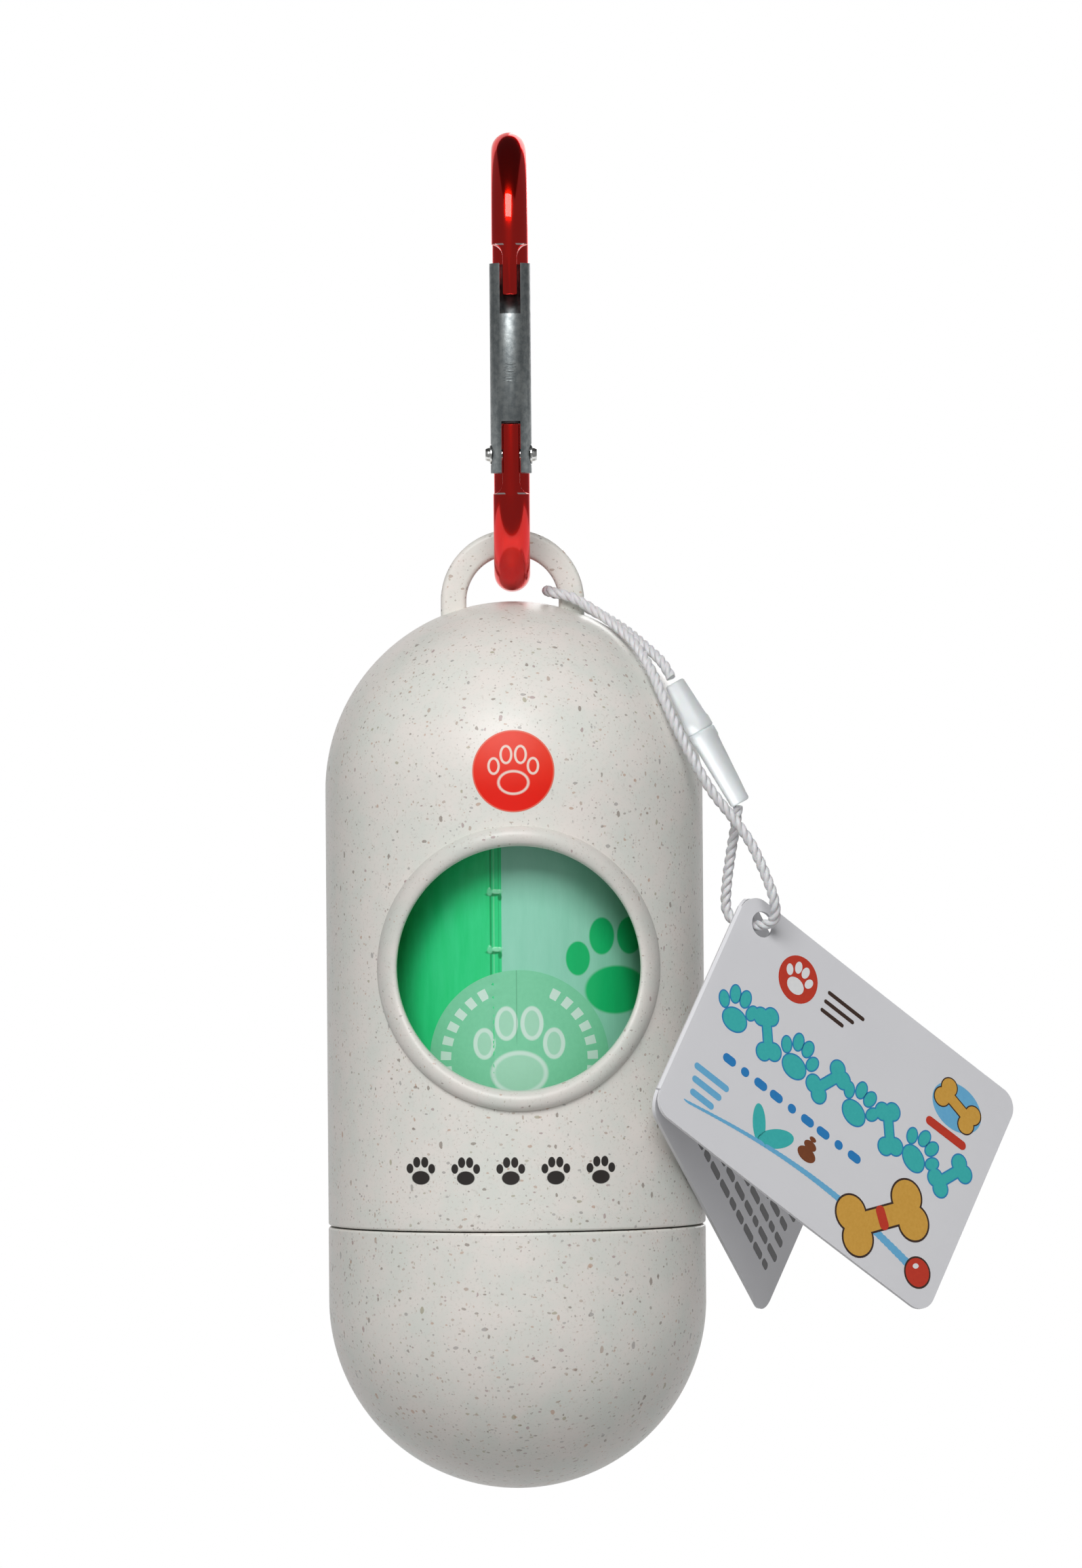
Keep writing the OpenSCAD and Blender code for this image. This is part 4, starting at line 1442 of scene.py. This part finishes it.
# %% Green film
film = Finish("green_film_wound")
u, v = offsets(film, 0.0, 0.0)
front = front_only(film)
wrinkle = film.noise(900.0, 4.0, 0.6, stretch=(1, 1, 0.16))
green = film.mix(wrinkle, srgb(20, 208, 120), srgb(74, 230, 160))
green = film.over(green, (0, 182, 88), film.noise(160.0, stretch=(1, 1, 0.4)), 0.4)
PANEL_X = photo_point(738, 0).x
mint = film.mix(wrinkle, srgb(138, 210, 182), srgb(158, 222, 198))
mint = film.over(
    mint, (24, 190, 112), paw_mask(film, *offsets(film, 10.6 * MM, -84.6 * MM), 10.5 * MM)
)
panel = film.times(film.ramp(u, PANEL_X - 0.05 * MM, PANEL_X + 0.05 * MM), front)
green = film.mix(panel, green, mint)
# Upright lines: the dark ones at the film's edge and just left of the panel are painted shade, and the
# pale one beside the edge is a painted highlight.
for x, half, strength, shade in (
    (FILM_EDGE_X, 0.12, 0.6, (2, 110, 52)), (FILM_EDGE_X + 0.32 * MM, 0.1, 0.5, (130, 226, 172)),
    (PANEL_X - 0.3 * MM, 0.08, 0.3, (6, 120, 62)),
):
    green = film.over(green, shade, film.times(upright_line(film, u, x, half * MM), front), strength)

# %% Crinkles in the film's edge, with painted highlights and shade
TEAR_X = photo_point(727, 0).x / MM
tear_relief = 0.0
# The pale ovals are painted highlights and the dark ovals painted shade; the same spots also raise a bump.
for pixel in (1316, 1400):
    z = photo_point(0, pixel).z / MM
    for cx, cz, rx, rz, shade in (
        (-0.1, 0.0, 0.75, 0.2, (4, 110, 56)), (0.3, 0.28, 0.6, 0.22, (150, 232, 188)),
        (-0.45, 0.25, 0.28, 0.4, (120, 222, 170)), (0.62, -0.3, 0.2, 0.36, (8, 128, 68)),
    ):
        spot = [c * MM for c in (TEAR_X + cx, z + cz, rx, rz)]
        painted_crinkle_spot = film.times(front, oval_mask(film, u, v, *spot, 0.35))
        green = film.over(green, shade, painted_crinkle_spot, 0.8)
        tear_relief = film.math("MAXIMUM", painted_crinkle_spot, tear_relief)
relief = film.math("ADD", wrinkle, film.times(tear_relief, 1.5))
coat(film.surface(green, 0.32, relief, 0.35, 0.1 * MM, Specular_IOR_Level=0.4), roll)

# %% Sticker
label = Finish("sticker_print")
fibre = label.noise(2400.0, 3.0)
ground = label.mix(fibre, srgb(118, 204, 160), srgb(130, 214, 172))
u, v = offsets(label, STICKER_X, STICKER_Z)
PALE = (206, 234, 220)
around = label.times(label.math("ARCTAN2", v, u), 31.0)
dashes = label.math("GREATER_THAN", label.math("SINE", around), -0.2)
sides = label.math("GREATER_THAN", label.math("ABSOLUTE", u), 3.2 * MM)
band = label.add(
    "Math", {0: length_of(label, u, v), 1: 7.7 * MM, 2: 0.55 * MM}, operation="COMPARE"
).outputs[0]
ground = label.over(ground, PALE, label.times(band, dashes), sides)
du, dv = offsets(label, STICKER_X, STICKER_Z + 0.7 * MM)
ground = label.over(ground, PALE, paw_mask(label, du, dv, 9.6 * MM), 0.4)
ground = label.over(ground, PALE, paw_mask(label, du, dv, 9.6 * MM, 0.42 * MM))
# The dark line along the sticker's crease is painted shade.
crease_shade = label.times(upright_line(label, u, -0.25 * MM, 0.07 * MM), label.ramp(v, 1 * MM, 3 * MM))
ground = label.over(ground, (60, 140, 100), crease_shade, 0.4)
coat(label.surface(ground, 0.5, fibre, 0.15, 0.05 * MM), sticker)

# %% [markdown]
# ## Card, ink and string
# The card is coated board with a faint tooth, and the inks are as glossy as the card.
# Nylon is slightly see-through along its fibres.

# %% Card and ink
board = Finish("tag_card_coated")
pale = board.mix(board.noise(60.0), srgb(229, 229, 232), srgb(221, 221, 225))
coat(board.surface(pale, 0.45, board.noise(1800.0, 3.0), 0.12, 0.05 * MM), card)

INKS = {
    "ink_teal": ((66, 190, 186), (52, 176, 176)), "ink_blue_line": ((46, 140, 196), (38, 128, 186)),
    "ink_blue": ((44, 134, 200), (34, 122, 190)), "ink_sky": ((116, 186, 224), (98, 172, 216)),
    "ink_red": ((206, 62, 40), (190, 50, 32)), "ink_amber": ((222, 172, 78), (206, 152, 58)),
    "ink_brown": ((132, 72, 38), (112, 58, 28)), "ink_dark": ((66, 44, 34), (50, 34, 28)),
    "ink_white": ((240, 240, 240), (228, 228, 230)), "ink_grey": ((50, 48, 52), (38, 36, 40)),
}
for colour, piece in ink_pieces.items():
    coat(plain_finish(colour, INKS[colour], 0.4, (3200.0, 3.0, EVEN), 0.08, 0.03 * MM), piece)

# %% String
nylon = Finish("nylon_yarn")
strands = nylon.noise(4200.0, 3.0, 0.6)
white = nylon.mix(strands, srgb(232, 232, 233), srgb(214, 214, 217))
white = nylon.over(white, (200, 201, 205), nylon.noise(500.0), 0.3)
coat(nylon.surface(
    white, 0.42, strands, 0.35, 0.1 * MM, Subsurface_Weight=0.15, Subsurface_Scale=0.6 * MM
), string)

# %% [markdown]
# ## Floor, backdrop and light
# The object hangs free before white. The floor lies well below it. To the camera,
# and to metal and clear plastic that mirror them, both are white; otherwise they
# are lit like anything else. Close under the object the floor keeps some of its real
# light, so that the shadow shows there.

# %% Floor and backdrop
NEAR_SHADOW, CLEAR_OF_SHADOW = 0.1, 0.21
FLOOR_GLOW_LOSS = 0.42
FLOOR_Z = cap_low.z - 0.03
STAGE_SIDE, BACKDROP_Y, BACKDROP_TOP = 3, 2.5, 3


def stage_sheet(name, low, high):
    """A flat sheet of the studio between two corners that share one coordinate."""
    a, b = [axis for axis in range(3) if low[axis] != high[axis]]
    corners = []
    for far_a, far_b in ((0, 0), (1, 0), (1, 1), (0, 1)):
        corner = list(low)
        corner[a], corner[b] = (low, high)[far_a][a], (low, high)[far_b][b]
        corners.append(corner)
    obj = new_object(name, corners, (), [(0, 1, 2, 3)])
    obj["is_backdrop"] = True
    return obj


def shown_white(tree):
    """1 for the rays that show the white background, 0 for the light on the object."""
    path = tree.add("LightPath").outputs
    seen = tree.math("MAXIMUM", path["Is Glossy Ray"], path["Is Transmission Ray"])
    return tree.math("MAXIMUM", path["Is Camera Ray"], seen)


floor = stage_sheet("floor", (-STAGE_SIDE, -STAGE_SIDE, FLOOR_Z), (STAGE_SIDE, STAGE_SIDE, FLOOR_Z))
backdrop = stage_sheet(
    "backdrop", (-STAGE_SIDE, BACKDROP_Y, FLOOR_Z), (STAGE_SIDE, BACKDROP_Y, BACKDROP_TOP)
)
pale_stage, tree = bare_material("pale_stage")
away = tree.add("VectorMath", {0: tree.place((1, 1, 0))}, operation="LENGTH").outputs["Value"]
near = tree.minus(1.0, tree.ramp(away, NEAR_SHADOW, CLEAR_OF_SHADOW))
matt = tree.add("BsdfDiffuse", {"Color": (0.5, 0.5, 0.5, 1)})
lit = tree.add("BsdfDiffuse", {"Color": tree.mix(near, (0, 0, 0, 1), (0.8, 0.8, 0.8, 1))})
glow = tree.add("Emission", {
    "Color": (1, 1, 1, 1), "Strength": tree.minus(1.0, tree.times(near, FLOOR_GLOW_LOSS)),
})
shown = tree.add("AddShader", {0: lit.outputs[0], 1: glow.outputs[0]})
both = tree.add("MixShader", {0: shown_white(tree), 1: matt.outputs[0], 2: shown.outputs[0]})
tree.add("OutputMaterial", {"Surface": both.outputs[0]})
coat(pale_stage, floor, backdrop)

world = bpy.data.worlds.new("studio")
bpy.context.scene.world = world
world.use_nodes = True
tree = Tree(world.node_tree)
level = tree.between(shown_white(tree), 0.19, 1.0)
sky = tree.add("Background", {"Color": (1, 1, 1, 1), "Strength": level})
tree.add("OutputWorld", {"Surface": sky.outputs[0]})


# %% Lamps
def soft_lamp(name, place, aim, width, height, watts):
    """Large rectangular lamp that looks at a point."""
    data = bpy.data.lights.new(name, "AREA")
    data.shape = "RECTANGLE"
    data.size, data.size_y, data.energy = width, height, watts
    lamp = bpy.data.objects.new(name, data)
    lamp.location = place
    lamp.rotation_euler = (Vector(aim) - Vector(place)).to_track_quat("-Z", "Y").to_euler()
    bpy.context.collection.objects.link(lamp)
    return lamp


middle = (0, 0, (cad_low[2] + cad_high[2]) / 2)
soft_lamp("key_box", (-0.1, -0.8, 0.48), middle, 0.6, 0.44, 7.5)
soft_lamp("back_box", (0.3, 1.1, 0.35), middle, 0.6, 0.6, 3.2)
print("two lamps, aimed at", middle)

# %% [markdown]
# Bright metal only looks like metal if it mirrors something dark as well. Dark
# cards stand to the left and right, above, behind the camera, and on the floor in
# front. Only mirror-like reflections see them: they throw no shadow and take no
# light away. The white backdrop stays behind the object, so every edge still shows it.

# %% Dark cards
SIDE, FRONT, BACK, TOP = 1.4, -1.5, 2.2, 1.4
NEAR, LOW = -0.12, FLOOR_Z + 0.001
SIDE_GREY, TOP_GREY = 0.26, 0.06


def card_paint(name, level):
    """Evenly dark paint that needs no light of its own."""
    paint, tree = bare_material(name)
    dull = tree.add("Emission", {"Color": (1, 1, 1, 1), "Strength": level})
    tree.add("OutputMaterial", {"Surface": dull.outputs[0]})
    return paint


side_paint = card_paint("dark_card_paint", SIDE_GREY)
top_paint = card_paint("black_card_paint", TOP_GREY)
for name, low, high in (
    ("front", (-SIDE, FRONT, FLOOR_Z), (SIDE, FRONT, TOP)),
    ("left", (-SIDE, FRONT, FLOOR_Z), (-SIDE, BACK, TOP)),
    ("right", (SIDE, FRONT, FLOOR_Z), (SIDE, BACK, TOP)),
    ("top", (-SIDE, FRONT, TOP), (SIDE, BACK, TOP)),
    ("low", (-SIDE, FRONT, LOW), (SIDE, NEAR, LOW)),
):
    dark = stage_sheet("dark_card_" + name, low, high)
    coat(top_paint if name == "top" else side_paint, dark)
    for way in ("camera", "diffuse", "transmission", "volume_scatter", "shadow"):
        setattr(dark, "visible_" + way, False)
bpy.context.scene.view_settings.view_transform = "Standard"

# %% [markdown]
# ## Size
# The dressed model has to be as large as the imported one. Both boxes are printed.

# %% Print the sizes and finish
low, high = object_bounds()
print("packed ", [round(1000 * (h - l), 2) for l, h in zip(cad_low, cad_high)])
print("dressed", [round(1000 * (h - l), 2) for l, h in zip(low, high)])
